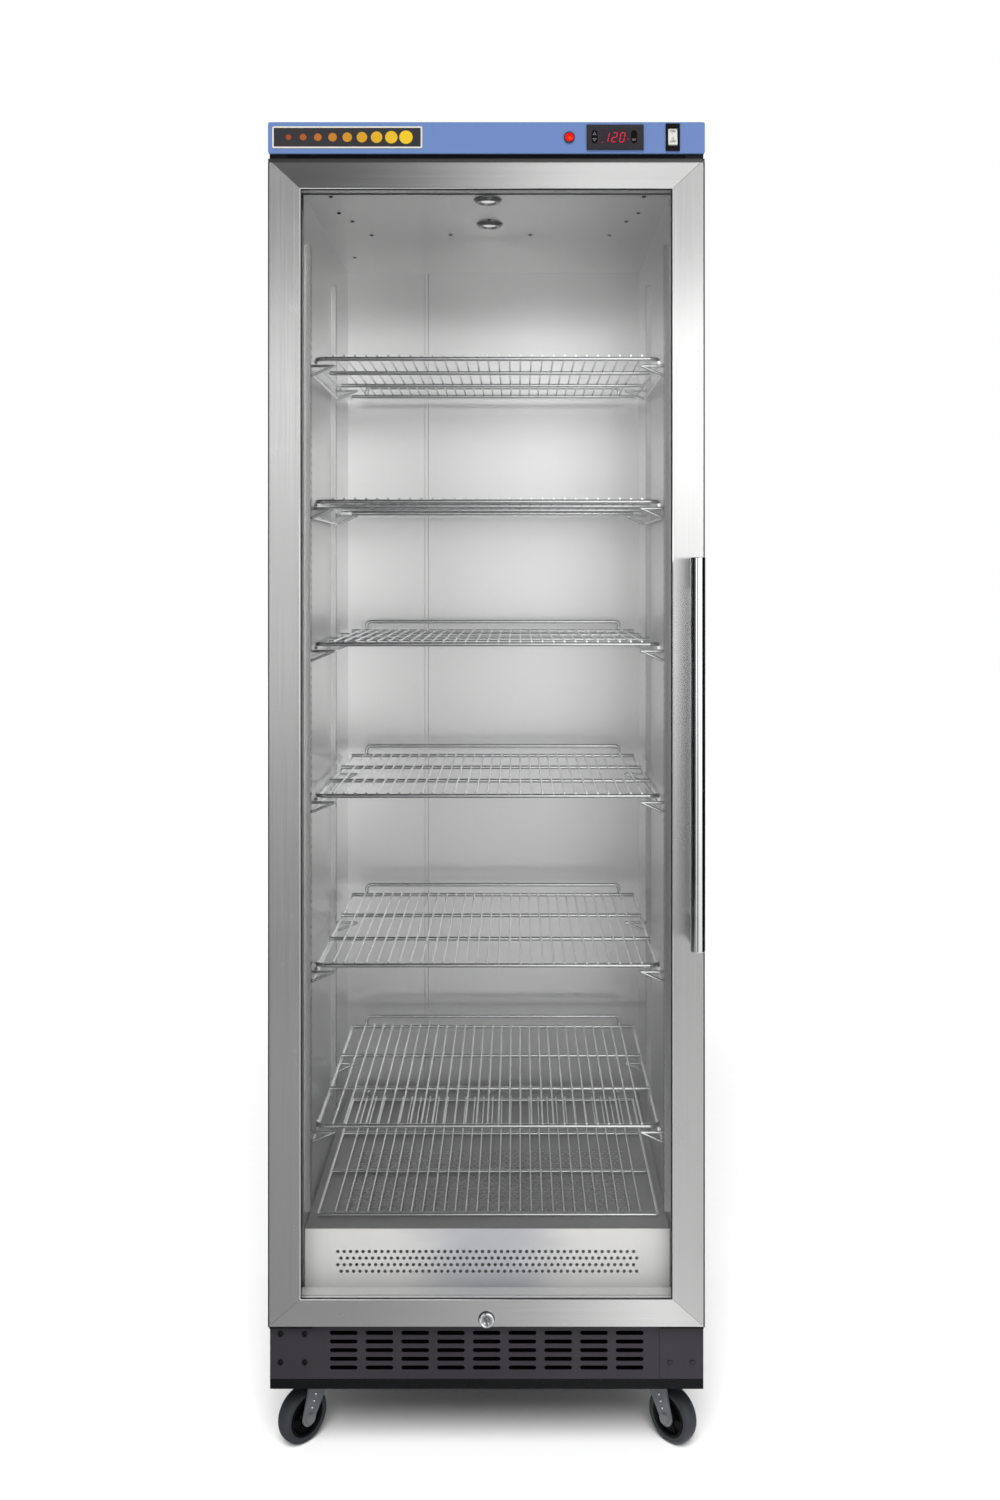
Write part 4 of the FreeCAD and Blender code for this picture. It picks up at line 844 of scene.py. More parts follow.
@dataclass
class Door:
    """Mitred stainless frame, double glazing, seal, handle, hinges and lock."""

    stile: float = 44 * MM
    top_rail: float = 41 * MM
    bottom_rail: float = 38 * MM
    seam: float = 0.35 * MM
    edge: float = 0.55 * MM
    gasket: float = 2.3 * MM
    seal_width: float = 12 * MM
    lock_height: float = 213 * MM
    lock_proud: float = 3 * MM
    ledge: float = 1.2 * MM
    roll: float = 0.35 * MM
    roll_top: float = 5.4 * MM
    roll_side: float = 2.0 * MM

    def build(self) -> None:
        """Dress the door and add its seams, seal and lock face."""
        dress(BrushedSteel("stile_steel", Grain.ALONG_Z), "door_stiles")
        dress(BrushedSteel("rail_steel", Grain.ALONG_X, 0.66), "door_rails")
        dress(ClearGlass("clear_glass"), "outer_glass", "inner_glass")
        self.polish = PolishedSteel("handle_polish", 0.90, 0.10)
        dress(self.polish, "handle_bar", "handle_brackets")
        self.lock_polish = PolishedSteel("lock_polish", 0.86, 0.06)
        dress(self.lock_polish, "lock_housing", "lock_plug")
        dress(Moulded("hinge_bushing_nylon", (0.78, 0.78, 0.74), 0.45), "hinge_bushings")
        self.mitres()
        self.opening_edge()
        self.glazing()
        self.rolled_edges()
        self.seal()
        self.lock_face()

    def glazing(self) -> None:
        """Spacer between the panes and the bead behind them, as bright linings of the rebate.

        Each is a thin strip, one ledge thick, carried round the frame's rebate.
        """
        bright = BrushedSteel("glazing_aluminium", Grain.ALONG_X, 0.93, 0.42, 0.1, 0.02, 0.3, 0.45)
        for node, name, slot in (("glass_spacer", "pane_spacer", "spacer_black"),
                                 ("glazing_beads", "bead_lining", "brushed_stainless")):
            centre, half = front_of(node)
            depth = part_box(node)[1][1] - centre[1]
            section = np.array([(0.0, 0.0), (0.0, -depth), (-self.ledge, -depth), (-self.ledge, 0.0)])
            strip = beading(SQUARE * half, front_plane(centre), section)
            Shell().tube(strip, closed=True).piece(
                name, "door", slot, bright, smooth=False, replaces=[node])

    def rolled_edges(self) -> None:
        """Rolled edges along the door's top and sides, their steel painted near-black as shade: low arcs,
        a quarter wave out and back.
        """
        low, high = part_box("door_rails")
        # painted shade: a near-black steel tone stands in for the shade that falls on the rolled edges
        shade = BrushedSteel("rolled_edge_painted_shade", Grain.ALONG_X, 0.085, 0.30, 0.1, 0.02, 0.3, 0.9)
        rise = np.linspace(0, 1, 7)
        bulge = self.roll * np.sin(rise * np.pi) ** 0.6 + 0.04 * MM
        flat = FACE + 0.1 * MM
        arc = np.concatenate([np.stack([rise, FACE - bulge], axis=-1), [(1.0, flat), (0.0, flat)]])
        shell = Shell()
        top = high[2] - 0.1 * MM
        ring = np.stack([np.zeros(len(arc)), arc[:, 1], top - self.roll_top * (1 - arc[:, 0])], axis=-1)
        ends = np.array([(low[0] + 0.3 * MM, 0, 0), (high[0] - 0.3 * MM, 0, 0)])
        shell.tube(ring[None] + ends[:, None])
        for side in (-1, 1):
            ring = np.stack([side * (high[0] - self.roll_side * (1 - arc[:, 0])), arc[:, 1],
                             np.zeros(len(arc))], axis=-1)
            ends = np.array([(0, 0, low[2] + 0.3 * MM), (0, 0, top - self.roll_top)])
            shell.tube(ring[None] + ends[:, None])
        shell.piece("rolled_edges", "door", "brushed_stainless", shade)

    def opening_edge(self) -> None:
        """Bright rolled edge of the frame's opening, and the dark glass gasket inside it.

        Both are profiles carried round the opening: a half round on its edge and a flat strip
        against the glass.
        """
        low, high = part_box("door_rails")
        half = np.array([high[0] - self.stile, (high[2] - low[2] - self.top_rail - self.bottom_rail) / 2])
        plane = front_plane((0.0, FACE, low[2] + self.bottom_rail + half[1]))
        strip = np.array([(-self.edge, -1.45 * MM), (-self.edge, -0.7 * MM),
                          (-self.gasket, -0.9 * MM), (-self.gasket, -1.45 * MM)])
        rubber = Moulded("glass_gasket_black", (0.010, 0.010, 0.012), 0.45)
        for name, slot, finish, section in (
                ("opening_edge", "polished_steel", self.polish, circle(8) * self.edge),
                ("glass_gasket", "seal_rubber", rubber, strip)):
            Shell().tube(beading(SQUARE * half, plane, section), closed=True).piece(
                name, "door", slot, finish)

    def mitres(self) -> None:
        """Hair seams where the stiles meet the rails: a thin plate along each corner's diagonal."""
        low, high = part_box("door_stiles")
        dark = Moulded("mitre_shadow", (0.05, 0.05, 0.05), 0.6)
        shell = Shell()
        for side in (-1, 1):
            for level, depth, gap in ((low[2], self.bottom_rail, 0.10), (high[2], -self.top_rail, 0.14)):
                outer = np.array([side * high[0], level])
                inner = outer + (-side * self.stile, depth)
                begin = outer + (inner - outer) * gap
                across = np.array([-(inner - begin)[1], (inner - begin)[0]])
                across *= self.seam / 2 / np.linalg.norm(across)
                outline = np.stack([begin - across, inner - across, inner + across, begin + across])
                shell.slab(outline, front_plane((0.0, FACE, 0.0)), -0.1 * MM, 0.03 * MM)
        shell.piece("mitre_seams", "door", "brushed_stainless", dark, smooth=False)

    def seal(self) -> None:
        """Magnetic seal: a closed bellows profile carried round the door's back."""
        low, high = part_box("door_gasket")
        width, depth = self.seal_width, high[1] - low[1]
        half = front_of("door_gasket")[1] - width / 2
        folds = np.linspace(0, 1, 13)
        waist = width / 2 * (0.80 + 0.20 * np.cos(folds * 4 * np.pi))
        right = np.stack([waist, folds * depth], axis=-1)
        section = np.concatenate([right, (right * (-1, 1))[::-1]])
        centre = (0.0, low[1], (low[2] + high[2]) / 2)

        def place(flat: np.ndarray, rise: np.ndarray) -> np.ndarray:
            """Put flat points behind the door, with rise towards +Y."""
            return np.stack([centre[0] + flat[:, 0], centre[1] + rise, centre[2] + flat[:, 1]], axis=-1)

        rubber = Moulded("seal_rubber_black", (0.03, 0.03, 0.032), 0.6, 900.0)
        Shell().tube(beading(SQUARE * half, place, section), closed=True).piece(
            "seal_bellows", "door", "seal_rubber", rubber, replaces=["door_gasket"])

    def lock_face(self) -> None:
        """Domed collar, a dark ring of painted shadow round it, and the plug's dished face with its
        keyway, a dark slot of painted shade.

        The collar's section is half a wave from rim to bore; the dish is a shallow cone to a
        raised boss.
        """
        outer, inner, rise = 10.6, 6.6, 1.3
        steps = np.linspace(0, 1, 11)[1:-1]
        dome = [(outer - (outer - inner) * step, rise * math.sin(step * math.pi) ** 0.7)
                for step in steps]
        collar = [(outer, 0.0), *dome, (inner, 0.0), (inner, -0.4), (outer, -0.4)]
        gap = [(10.2, -0.1), (10.2, 0.25), (11.4, 0.06), (11.4, -0.1)]
        dish = [(0.05, 0.9), (3.0, 0.9), (3.5, 0.5), (3.6, 0.1), (5.9, 1.0), (5.95, -0.2), (0.05, -0.2)]
        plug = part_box("lock_plug")[0][1]
        # painted shade: this dark finish stands for the shadow in the gap round the collar and in the
        # keyway
        dark = Moulded("lock_shadow_gap", (0.02, 0.02, 0.022), 0.5)
        shade = PolishedSteel("plug_polish", 0.36, 0.12)
        for name, body, slot, finish, profile, y, sides in (
                ("lock_collar", "door", "polished_steel", self.lock_polish, collar,
                 FACE - self.lock_proud, 48),
                ("lock_gap_ring", "door", "seal_rubber", dark, gap, FACE, 48),
                ("plug_face", "lock_plug", "polished_steel", shade, dish, plug, 40)):
            rings = turned(np.array(profile) * MM, (0.0, y, self.lock_height), (0, -1, 0), sides)
            Shell().tube(rings, closed=profile is not dish).piece(name, body, slot, finish)
        plane = front_plane((0.0, plug - 0.9 * MM, self.lock_height))
        Shell().slab(oblong(0.9 * MM, 3.6 * MM, 6), plane, -0.2 * MM, 0.03 * MM).piece(
            "plug_keyway", "lock_plug", "seal_rubber", dark, smooth=False)


@dataclass
class Fascia:
    """Painted control fascia with its plate, pilot light, controller and switch."""

    plate_border: float = 2.2 * MM
    discs: int = 9
    key_x: float = 148.4 * MM
    set_x: float = 202.5 * MM
    switch_x: float = 255.8 * MM
    rocker_tilt: float = 8.0
    gap_shade_strip: tuple[float, float, float] = (298.5 * MM, 1807.9 * MM, 1814.0 * MM)

    def build(self) -> None:
        """Dress the fascia and its controls."""
        blue = Enamel("fascia_blue", (0.116, 0.190, 0.402), 0.42, 1100.0, 0.15, 0.004, 0.35)
        dress(blue, "control_fascia")
        dress(Enamel("plate_cream", (0.60, 0.58, 0.51), 0.40, 1500.0, 0.1, 0.01, 0.3), "label_plate")
        dress(Moulded("pilot_bezel_black", (0.010, 0.006, 0.006), 0.25, gloss=0.5),
              "indicator_bezel")
        (x, _, z), _ = front_of("indicator_lens")
        spot = (x + 0.7 * MM, z - 1.3 * MM)
        dress(Glow("pilot_red", (1.0, 0.0, 0.0), 0.85, 0.2, (0.35, 0.0, 0.0), (1.0, 0.12, 0.0), spot,
                   3.2 * MM), "indicator_lens")
        dress(Moulded("controller_black", (0.0155, 0.0125, 0.0165), 0.45), "controller_housing")
        dress(Moulded("display_smoke", (0.0125, 0.0085, 0.012), 0.3, 300.0, 0.03),
              "controller_window")
        dress(Moulded("key_black", (0.001, 0.001, 0.001), 0.5, gloss=0.1),
              "up_key", "down_key", "set_key")
        dress(Moulded("switch_frame_black", (0.001, 0.001, 0.001), 0.3, gloss=0.12), "switch_frame")
        dress(Moulded("rocker_ivory", (0.50, 0.495, 0.47), 0.35, 900.0, 0.08, 0.4), "switch_rocker")
        self.plate()
        self.display()
        self.keys()
        self.rocker()
        self.controller_lines()
        self.strip()

    def strip(self) -> None:
        """Black strip under the fascia, above the door: a painted shade that fills the deep gap between
        them.
        """
        half, low, high = self.gap_shade_strip
        outline = np.array([(-half, low), (half, low), (half, high), (-half, high)])
        # painted shade: this black stands for the shadow inside the gap
        rubber = Moulded("gap_painted_shade_black", (0.001, 0.001, 0.001), 0.5, gloss=0.1)
        Shell().slab(outline, front_plane((0.0, FACE, 0.0)), -13 * MM, -4.5 * MM).piece(
            "gap_shade_strip", "cabinet", "seal_rubber", rubber, smooth=False)

    def plate(self) -> None:
        """Dark field with a run of growing discs that warm from brown to yellow."""
        centre, half = front_of("label_plate")
        half -= self.plate_border
        plane = front_plane(centre)
        ink = Enamel("plate_field_black", (0.016, 0.015, 0.018), 0.3, 1500.0, 0.1, 0.01)
        Shell().slab(SQUARE * half, plane, -0.1 * MM, 0.12 * MM).piece(
            "plate_field", "cabinet", "label_print", ink, smooth=False)
        pitch = 2 * half[0] * 0.9 / self.discs
        for number, heat in enumerate(np.linspace(0, 1, self.discs)):
            colour = (0.26 + 0.40 * heat, 0.040 + 0.40 * heat ** 1.3, 0.008 + 0.004 * heat)
            paint = Enamel(f"plate_disc_{number + 1}_ink", colour, 0.35, 1500.0, 0.1, 0.01)
            x = -half[0] * 0.9 + pitch * (number + 0.5)
            outline = circle(36) * half[1] * (0.30 + 0.42 * heat) + (x, 0.0)
            Shell().slab(outline, plane, 0.05 * MM, 0.2 * MM).piece(
                f"plate_disc_{number + 1}", "cabinet", "label_print", paint, smooth=False)

    def display(self) -> None:
        """Red slanted seven-segment digits and two dots on the window.

        A segment is a bar with pointed ends; a digit of height h has its seven at fixed places,
        and every point leans by its height times the tangent of the slant.
        """
        red = Glow("digit_red", (1.0, 0.006, 0.07), 1.15, 0.4, (0.05, 0.0, 0.002))
        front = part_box("controller_window")[0][1]
        place = front_plane((0.0, front, 0.0))
        width, height, thick, slant = 5.7 * MM, 12.7 * MM, 1.0 * MM, math.tan(math.radians(11))
        half = height / 2
        ways = {"a": ((0, height), (width, height)), "b": ((width, height), (width, half)),
                "c": ((width, half), (width, 0)), "d": ((0, 0), (width, 0)), "e": ((0, half), (0, 0)),
                "f": ((0, height), (0, half)), "g": ((0, half), (width, half))}
        digits = (("bc", 160.6), ("abged", 171.6), ("abcdef", 182.4))
        base = 1828.9 * MM
        shell = Shell()
        for segments, left in digits:
            for name in segments:
                start, end = (np.array(point, dtype=float) for point in ways[name])
                along = (end - start) / np.linalg.norm(end - start)
                across = np.array([-along[1], along[0]]) * thick / 2
                start, end = start + along * 0.35 * MM, end - along * 0.35 * MM
                taper = along * thick / 2
                flat = np.stack([start, start + taper - across, end - taper - across, end,
                                 end - taper + across, start + taper + across])
                flat[:, 0] += flat[:, 1] * slant + left * MM
                flat[:, 1] += base
                shell.slab(flat, place, -0.05 * MM, 0.08 * MM)
        for x, z in ((159.1, 1828.4), (194.2, 1832.9)):
            shell.slab(circle(10) * 0.6 * MM + (x * MM, z * MM), place, -0.05 * MM, 0.08 * MM)
        shell.piece("display_digits", "cabinet", "display_window", red, smooth=False)

    def keys(self) -> None:
        """Arrow outlines and a word on the three keys, printed in grey."""
        grey = Enamel("legend_grey", (0.17, 0.165, 0.18), 0.5, 1500.0, 0.1, 0.02)
        triangle = np.array([(-2.1, -1.6), (2.1, -1.6), (0.0, 1.9)]) * MM
        for name, height, flip in (("up_key", 4.2 * MM, 1), ("down_key", -4.2 * MM, -1)):
            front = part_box(name)[0][1]
            outline = triangle * (1, flip)
            outline = outline if flip > 0 else outline[::-1]
            place = front_plane((self.key_x, front, CONTROL_CENTRE + height))
            section = np.array([(-0.32, -0.03), (0.32, -0.03), (0.32, 0.06), (-0.32, 0.06)]) * MM
            Shell().tube(beading(outline, place, section), closed=True).piece(
                f"{name}_arrow", name, "label_print", grey, smooth=False)
        self.word("SET", 2.7 * MM, (self.set_x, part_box("set_key")[0][1], CONTROL_CENTRE - 4.2 * MM),
                  "set_key_word", "set_key", grey)

    def word(self, text: str, height: float, centre: Point, name: str, body: str,
             ink: Finish, lean: float = 0.0) -> None:
        """Print a word on an upright face, leaning back by an angle in degrees."""
        points, faces = lettering(text, height, 0.1 * MM)
        tilt = math.radians(lean)
        up, out = points[:, 1], points[:, 2]
        placed = np.stack([centre[0] + points[:, 0],
                           centre[1] - out * math.cos(tilt) + up * math.sin(tilt),
                           centre[2] + up * math.cos(tilt) + out * math.sin(tilt)], axis=-1)
        Shell().add(placed, faces).piece(name, body, "label_print", ink, smooth=False)

    def rocker(self) -> None:
        """Words and marks on the rocker's two faces, which meet at a shallow angle."""
        ink = Enamel("rocker_ink", (0.003, 0.003, 0.004), 0.5, 1500.0, 0.1, 0.003, 0.2)
        axis_y, middle, tip = FACE + 2 * MM, 3.2 * MM, 4.0 * MM
        reach = 11.5 * MM
        turn = -math.radians(self.rocker_tilt)
        face_lean = math.atan((tip - middle) / reach)
        for name, text, size, up in (("rocker_on", "ON", 3.4, 7.8), ("rocker_bar", "I", 2.0, 3.6),
                                     ("rocker_ring", "O", 3.2, -2.6), ("rocker_off", "OFF", 3.4, -7.0)):
            height = up * MM
            y = -(middle + (tip - middle) * abs(height) / reach) - 0.03 * MM
            centre = (self.switch_x, axis_y + y * math.cos(turn) - height * math.sin(turn),
                      CONTROL_CENTRE + y * math.sin(turn) + height * math.cos(turn))
            lean = math.degrees(-turn - (face_lean if up > 0 else -face_lean))
            self.word(text, size * MM, centre, name, "switch_rocker", ink, lean)

    def controller_lines(self) -> None:
        """Two moulded lines across the controller's face, above and below its window."""
        (x, front, _), half = front_of("controller_housing")
        dark = Moulded("controller_groove", (0.012, 0.012, 0.014), 0.5)
        shell = Shell()
        for height in (-13.2 * MM, 13.2 * MM):
            place = front_plane((x, front, CONTROL_CENTRE + height))
            shell.slab(SQUARE * (half[0] - 1.2 * MM, 0.35 * MM), place, -0.1 * MM, 0.04 * MM)
        shell.piece("controller_lines", "cabinet", "black_plastic", dark, smooth=False)


@dataclass
class Chamber:
    """Shelves and their supports, lights, the heated floor and what is under it."""

    light_rows: tuple[float, float] = (-195 * MM, -58 * MM)

    def lights(self) -> None:
        """Ceiling lights: a coned rim with a rolled lip, and a lens set up inside it.

        Both are turned shapes that hang from the ceiling.
        """
        rim = [(20.8, -0.2), (20.8, 0.3), (20.1, 1.2), (18.8, 2.4), (17.3, 3.6), (16.5, 4.2), (15.6, 4.5),
               (12.8, 4.5), (12.0, 4.2), (11.6, 3.4), (11.5, -0.2)]
        lens = [(0.05, 2.3), (6.0, 2.2), (10.2, 1.8), (11.4, 1.3), (11.4, -0.2), (0.05, -0.2)]
        # polished steel whose tone is lowered as painted shade, standing for the dark crescent on the
        # rim's cone
        steel = PolishedSteel("light_rim_shaded_polish", 0.46, 0.14)
        glow = Glow("light_lens_white", (1.0, 0.98, 0.94), 0.62, 0.35, (0.6, 0.6, 0.58))
        for node, name, slot, profile, finish in (
                ("ceiling_light_rims", "light_rims", "polished_steel", rim, steel),
                ("ceiling_light_lenses", "light_lenses", "lamp_lens", lens, glow)):
            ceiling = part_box(node)[1][2]
            shell = Shell()
            for row in self.light_rows:
                shell.tube(turned(np.array(profile) * MM, (0.0, row, ceiling), (0, 0, -1), 48),
                           closed=profile is rim)
            shell.piece(name, "cabinet", slot, finish, replaces=[node])

    def build(self) -> None:
        """Dress the chamber's fittings and make its lights."""
        self.lights()
        chrome = PolishedSteel("shelf_chrome", 0.88, 0.16)
        dress(chrome, "shelf_supports", "floor_rack", *(f"shelf_{number}" for number in range(1, 7)))
        dress(BrushedSteel("standard_steel", Grain.ALONG_Z, 0.60, 0.28, 0.2, 0.02, 0.6),
              "shelf_standards")
        dress(CoverSteel("floor_cover_steel"), "floor_cover")
        dress(HeatTint("heater_tube"), "heater_element")
        dress(Moulded("fan_black", (0.018, 0.018, 0.020), 0.45), "fan_frame", "fan_rotor")
        dress(PolishedSteel("probe_polish", 0.66, 0.2), "temperature_probe")
        dress(ZincPlate("terminal_box_zinc", 0.45), "terminal_box")
        dress(Moulded("gland_black", (0.02, 0.02, 0.022), 0.4), "cord_gland")
        dress(ScrewPlate("screw_finish"), "fasteners")


@dataclass
class Caster:
    """One swivel caster's tyre, hub and stamped fork details."""

    corner: str
    radius: float = 38 * MM
    width: float = 24 * MM
    tyre: float = 11 * MM
    trail: float = 25 * MM
    axle_height: float = 38 * MM

    def at(self, local: np.ndarray) -> np.ndarray:
        """Turn points from the caster's own axes to its corner: a turn about Z, then a shift."""
        x, y, turn = CORNERS[self.corner]
        angle = math.radians(turn)
        cosine, sine = math.cos(angle), math.sin(angle)
        return np.stack([x + local[..., 0] * cosine - local[..., 1] * sine,
                         y + local[..., 0] * sine + local[..., 1] * cosine, local[..., 2]], axis=-1)

    def build(self, rubber: Finish, hub: Finish, steel: Finish, bolt: Finish, bead: Finish) -> None:
        """Make the wheel and the fork's details.

        Args:
            rubber: the tyre's finish.
            hub: the hub's finish.
            steel: the fork's finish.
            bolt: the axle's finish.
            bead: the finish of the beads down the fork's legs.
        """
        fork, wheel = f"caster_fork_{self.corner}", f"caster_wheel_{self.corner}"
        dress(steel, fork)
        centre = (0.0, -self.trail, self.axle_height)
        half, inner = self.width / 2, self.radius - self.tyre
        turn = np.linspace(-1, 1, 17)
        crown = [(self.radius - 0.5 * MM - 4.2 * MM * abs(step) ** 3.2 + 0.5 * MM * (1 - step * step),
                  step * half) for step in turn]
        section = crown + [(inner + 1.6 * MM, half), (inner, half - 1.6 * MM),
                           (inner, -half + 1.6 * MM), (inner + 1.6 * MM, -half)]
        Shell().tube(self.at(turned(section, centre, (1, 0, 0), 56)), closed=True).piece(
            f"tyre_{self.corner}", wheel, "tyre_rubber", rubber, replaces=[wheel])

        bore, rim = 4.1 * MM, inner - 0.1 * MM
        dish = [(bore, half - 0.5 * MM), (8.5 * MM, half - 0.5 * MM), (9.6 * MM, half - 1.6 * MM),
                (10.5 * MM, half - 4.6 * MM), (19.5 * MM, half - 5.2 * MM), (21.5 * MM, half - 4.4 * MM),
                (23.2 * MM, half - 1.2 * MM), (24.2 * MM, half - 0.4 * MM), (rim, half - 0.4 * MM)]
        section = dish + [(radius, -height) for radius, height in dish[::-1]]
        shell = Shell().tube(self.at(turned(section, centre, (1, 0, 0), 48)), closed=True)
        spokes = 6
        for number in range(spokes):
            angle = 2 * math.pi * number / spokes
            for side in (-1, 1):
                self.rib(shell, centre, angle, side)
        shell.piece(f"hub_{self.corner}", wheel, "black_plastic", hub)
        self.fork_details(fork, bead, bolt, centre)

    def rib(self, shell: Shell, centre: Point, angle: float, side: int) -> None:
        """A low tapered rib across the hub's dish, from its boss to its rim."""
        half = self.width / 2
        radii, widths = (9.0 * MM, 23.0 * MM), (1.7 * MM, 1.1 * MM)
        base, crest = half - 5.6 * MM, half - 2.6 * MM
        rings = []
        for radius, width in zip(radii, widths):
            ring = []
            for across, height in ((-width, base), (-width * 0.6, crest),
                                   (width * 0.6, crest), (width, base)):
                y = radius * math.cos(angle) - across * math.sin(angle)
                z = radius * math.sin(angle) + across * math.cos(angle)
                ring.append((side * height, centre[1] + y, centre[2] + z))
            rings.append(ring)
        shell.tube(self.at(np.array(rings)))

    def fork_details(self, body: str, bead: Finish, bolt: Finish, centre: Point) -> None:
        """Stamped beads down each leg, rubbed bright, and the axle's domed nuts."""
        leg = self.width / 2 + 5 * MM
        shell = Shell()
        for side in (-1, 1):
            for number in range(5):
                share = 0.14 + 0.155 * number
                y = -4 * MM + (centre[1] + 4 * MM) * share
                z = 92 * MM + (centre[2] - 92 * MM) * share
                profile = [(2.0 * MM, -0.2 * MM), (1.9 * MM, 0.35 * MM), (1.3 * MM, 0.8 * MM),
                           (0.05 * MM, 1.0 * MM)]
                shell.tube(self.at(turned(profile, (side * leg, y, z), (side, 0, 0), 12)))
        shell.piece(f"fork_beads_{self.corner}", body, "caster_steel", bead)
        nuts = Shell()
        for side in (-1, 1):
            profile = [(5.8 * MM, 0.0), (5.8 * MM, 0.7 * MM), (4.8 * MM, 1.0 * MM), (4.4 * MM, 2.8 * MM),
                       (3.2 * MM, 3.6 * MM), (0.05 * MM, 3.9 * MM)]
            nuts.tube(self.at(turned(profile, (side * leg, centre[1], centre[2]), (side, 0, 0), 24)))
        nuts.piece(f"axle_nuts_{self.corner}", body, "caster_steel", bolt)


@dataclass
class Casters:
    """All four casters, their mounts and the mounts' bolts."""

    bolt_spread: float = 24 * MM
    plate_low: float = 105 * MM

    def build(self) -> None:
        """Build the casters and bolt them on."""
        rubber = Moulded("tyre_dark_grey", (0.021, 0.0235, 0.027), 0.55, 700.0, 0.45, 0.35)
        hub = Moulded("hub_black", (0.0010, 0.0010, 0.0012), 0.35, 1400.0, 0.2, 0.08)
        steel = Enamel("fork_grey", (0.125, 0.135, 0.145), 0.34, 700.0, 0.35, 0.04)
        bolt = ZincPlate("axle_zinc", 0.40)
        bead = PolishedSteel("bead_polish", 0.80, 0.2)
        dress(ZincPlate("mount_zinc", 0.36), "caster_mounts")
        for corner in CORNERS:
            Caster(corner).build(rubber, hub, steel, bolt, bead)
        washer, head = [(6.0, -0.1), (6.0, 0.9)], [(4.6, 0.8), (4.6, 3.8), (3.9, 4.4)]
        shell = Shell()
        for x, y, _ in CORNERS.values():
            for dx in (-1, 1):
                for dy in (-1, 1):
                    centre = (x + dx * self.bolt_spread, y + dy * self.bolt_spread, self.plate_low)
                    for profile, sides in ((washer, 20), (head, 6)):
                        shell.tube(turned(np.array(profile) * MM, centre, (0, 0, -1), sides))
        shell.piece("mount_bolts", "cabinet", "zinc_steel", bolt, smooth=False)


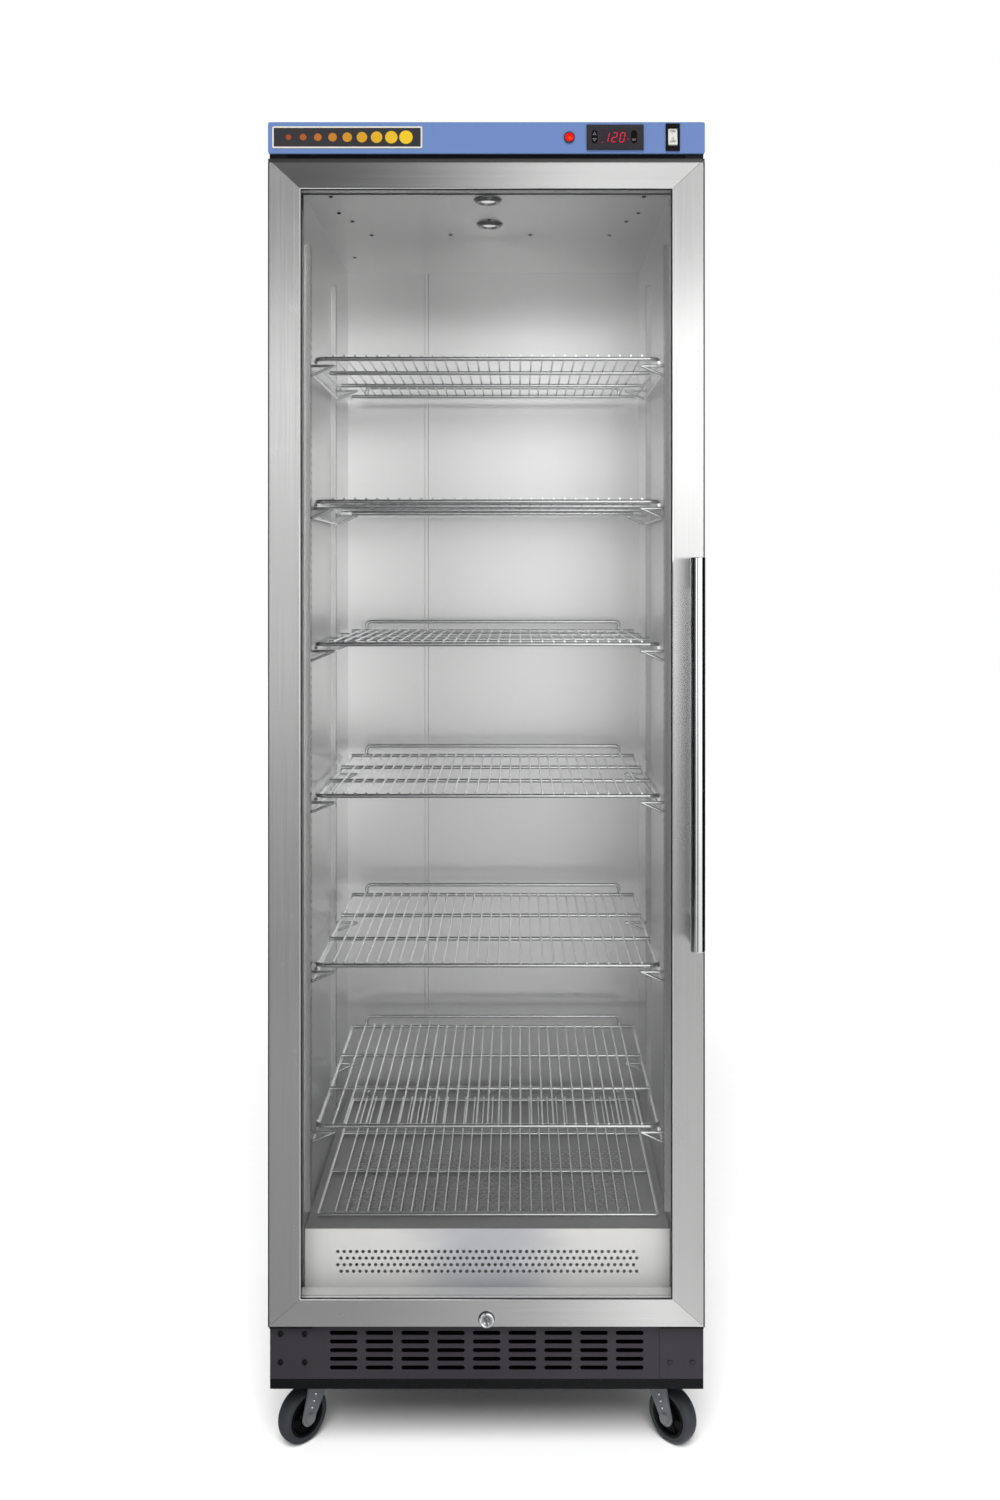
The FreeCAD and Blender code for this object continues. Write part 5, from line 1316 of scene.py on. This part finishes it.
# ---- Studio ----
@dataclass
class Studio:
    """Camera, pale floor and soft lights."""

    camera: Point = (0.042, -2.159, 1.242)
    lens: float = 32.93
    shift: tuple[float, float] = (-17 / 1500, -180 / 1500)
    across: tuple[tuple[float, float], ...] = (
        (-1.0, 0.03), (-0.66, 0.03), (-0.62, 0.60), (-0.5, 0.62), (-0.30, 0.55), (-0.25, 0.10),
        (-0.17, 0.045), (-0.12, 0.068), (-0.085, 0.11), (-0.05, 0.235), (-0.012, 0.425), (0.024, 0.725),
        (0.06, 0.84), (0.085, 0.78), (0.11, 0.53), (0.13, 0.52), (0.17, 0.80), (0.5, 0.88),
        (0.83, 0.86), (0.87, 0.03), (1.0, 0.03))
    upward: tuple[tuple[float, float], ...] = (
        (-1.0, 0.33), (-0.23, 0.32), (-0.165, 0.42), (-0.13, 0.475), (-0.094, 0.64), (-0.05, 0.68),
        (0.02, 0.68), (0.05, 0.72), (0.10, 1.0), (0.17, 1.0), (0.20, 0.52), (0.225, 0.27), (0.26, 0.33),
        (0.30, 0.38), (0.5, 0.38), (0.75, 0.27), (1.0, 0.14))
    behind: tuple[tuple[float, float], ...] = (
        (-1.0, 1.0), (-0.36, 1.0), (-0.28, 0.10), (0.0, 0.05), (0.88, 0.06), (0.97, 0.35), (1.0, 0.35))
    surround: float = 3.2         # brightest mirrored tone; the three rows above scale it
    ambient: float = 0.35         # tone that lights matt surfaces
    sun: float = 3.6
    sun_height: float = 50.0
    sun_spread: float = 30.0

    def build(self) -> None:
        """Set up the camera, the floor, the surroundings and the lamps."""
        self.shoot()
        self.floor()
        self.surroundings()
        self.lamp("key", (2.2, -3.4, 2.2), (0.0, -0.2, 0.9), (1.8, 2.4), 12.0)
        self.front_light()
        bpy.context.scene.view_settings.view_transform = "Standard"

    def shoot(self) -> None:
        """Place the camera, level and facing the door."""
        data = bpy.data.cameras.new("camera")
        data.lens, data.sensor_width, data.clip_end = self.lens, 36.0, 100.0
        data.shift_x, data.shift_y = self.shift
        camera = bpy.data.objects.new("camera", data)
        camera.location = self.camera
        camera.rotation_euler = (math.radians(90), 0.0, 0.0)
        bpy.context.scene.collection.objects.link(camera)
        bpy.context.scene.camera = camera

    def floor(self) -> None:
        """A wide pale floor; to glossy rays it shows a painted reflection shade near the cabinet and lets
        them through farther off.
        """
        mesh = bpy.data.meshes.new("floor")
        reach = 14.0
        mesh.from_pydata([(-reach, -reach, 0), (reach, -reach, 0), (reach, reach, 0), (-reach, reach, 0)],
                         [], [(0, 1, 2, 3)])
        floor = bpy.data.objects.new("floor", mesh)
        bpy.context.scene.collection.objects.link(floor)
        graph = Graph("studio_floor")
        speck = graph.noise(40.0, 2.0)
        pale = graph.surface({"Base Color": graph.blend(speck, (0.93, 0.93, 0.93), (0.96, 0.96, 0.96)),
                              "Roughness": 0.8, "Specular IOR Level": 0.1})
        # painted reflection: to glossy rays the floor near the cabinet is shaded across X, dark on the
        # left and brightest just right of the middle
        side = graph.axis("X")
        right = side.ramp(-0.30, 0.10) * 0.2 + side.ramp(0.02, 0.36) * 0.77 - side.ramp(0.28, 0.42) * 0.6
        dim = graph.surface({"Base Color": graph.blend(right, (0.31, 0.31, 0.31), (0.97, 0.97, 0.97)),
                             "Roughness": 0.9, "Specular IOR Level": 0.0})
        open_view = graph.node("ShaderNodeBsdfTransparent")
        close = graph.axis("Y").ramp(-3.0, -1.8) * side.ramp(-2.6, -1.8) * side.ramp(2.6, 1.8)
        near = graph.node("ShaderNodeMixShader", {},
                          {0: close, 1: open_view.outputs[0], 2: dim.outputs[0]})
        path = graph.node("ShaderNodeLightPath")
        mesh.materials.append(graph.finish(graph.node("ShaderNodeMixShader", {}, {
            0: path.outputs["Is Glossy Ray"], 1: pale.outputs[0], 2: near.outputs[0]})))

    def front_light(self) -> None:
        """A broad, soft light from high in front, which leaves a shade under the cabinet."""
        data = bpy.data.lights.new("front", "SUN")
        data.energy, data.angle = self.sun, math.radians(self.sun_spread)
        lamp = bpy.data.objects.new("front", data)
        lamp.location = (0.0, -3.0, 4.0)
        lamp.rotation_euler = (math.radians(90 - self.sun_height), 0.0, 0.0)
        lamp.visible_glossy = False
        bpy.context.scene.collection.objects.link(lamp)

    def surroundings(self) -> None:
        """White to the camera, even on matt surfaces, and banded three ways in polished ones."""
        sky = Sky("studio")
        banded = sky.row("X", self.across) * sky.row("Z", self.upward) * sky.row("Y", self.behind)
        mirrored = sky.choose("Is Glossy Ray", self.ambient, banded * self.surround)
        sky.light(sky.choose("Is Camera Ray", mirrored, 1.0))

    def lamp(self, name: str, place: Point, target: Point, size: tuple[float, float],
             watts: float) -> None:
        """Hang a soft rectangular lamp that faces a point."""
        data = bpy.data.lights.new(name, "AREA")
        data.shape, data.energy = "RECTANGLE", watts
        data.size, data.size_y = size
        lamp = bpy.data.objects.new(name, data)
        lamp.location = place
        lamp.rotation_euler = (Vector(target) - Vector(place)).to_track_quat("-Z", "Y").to_euler()
        bpy.context.scene.collection.objects.link(lamp)


def main() -> None:
    """Build the cabinet's looks and the studio."""
    logging.basicConfig(level=logging.INFO, format="%(message)s")
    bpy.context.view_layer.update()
    Studio().build()
    for assembly in (Body(), Base(), Door(), Fascia(), Chamber(), Casters()):
        assembly.build()


if __name__ == "__main__":
    main()
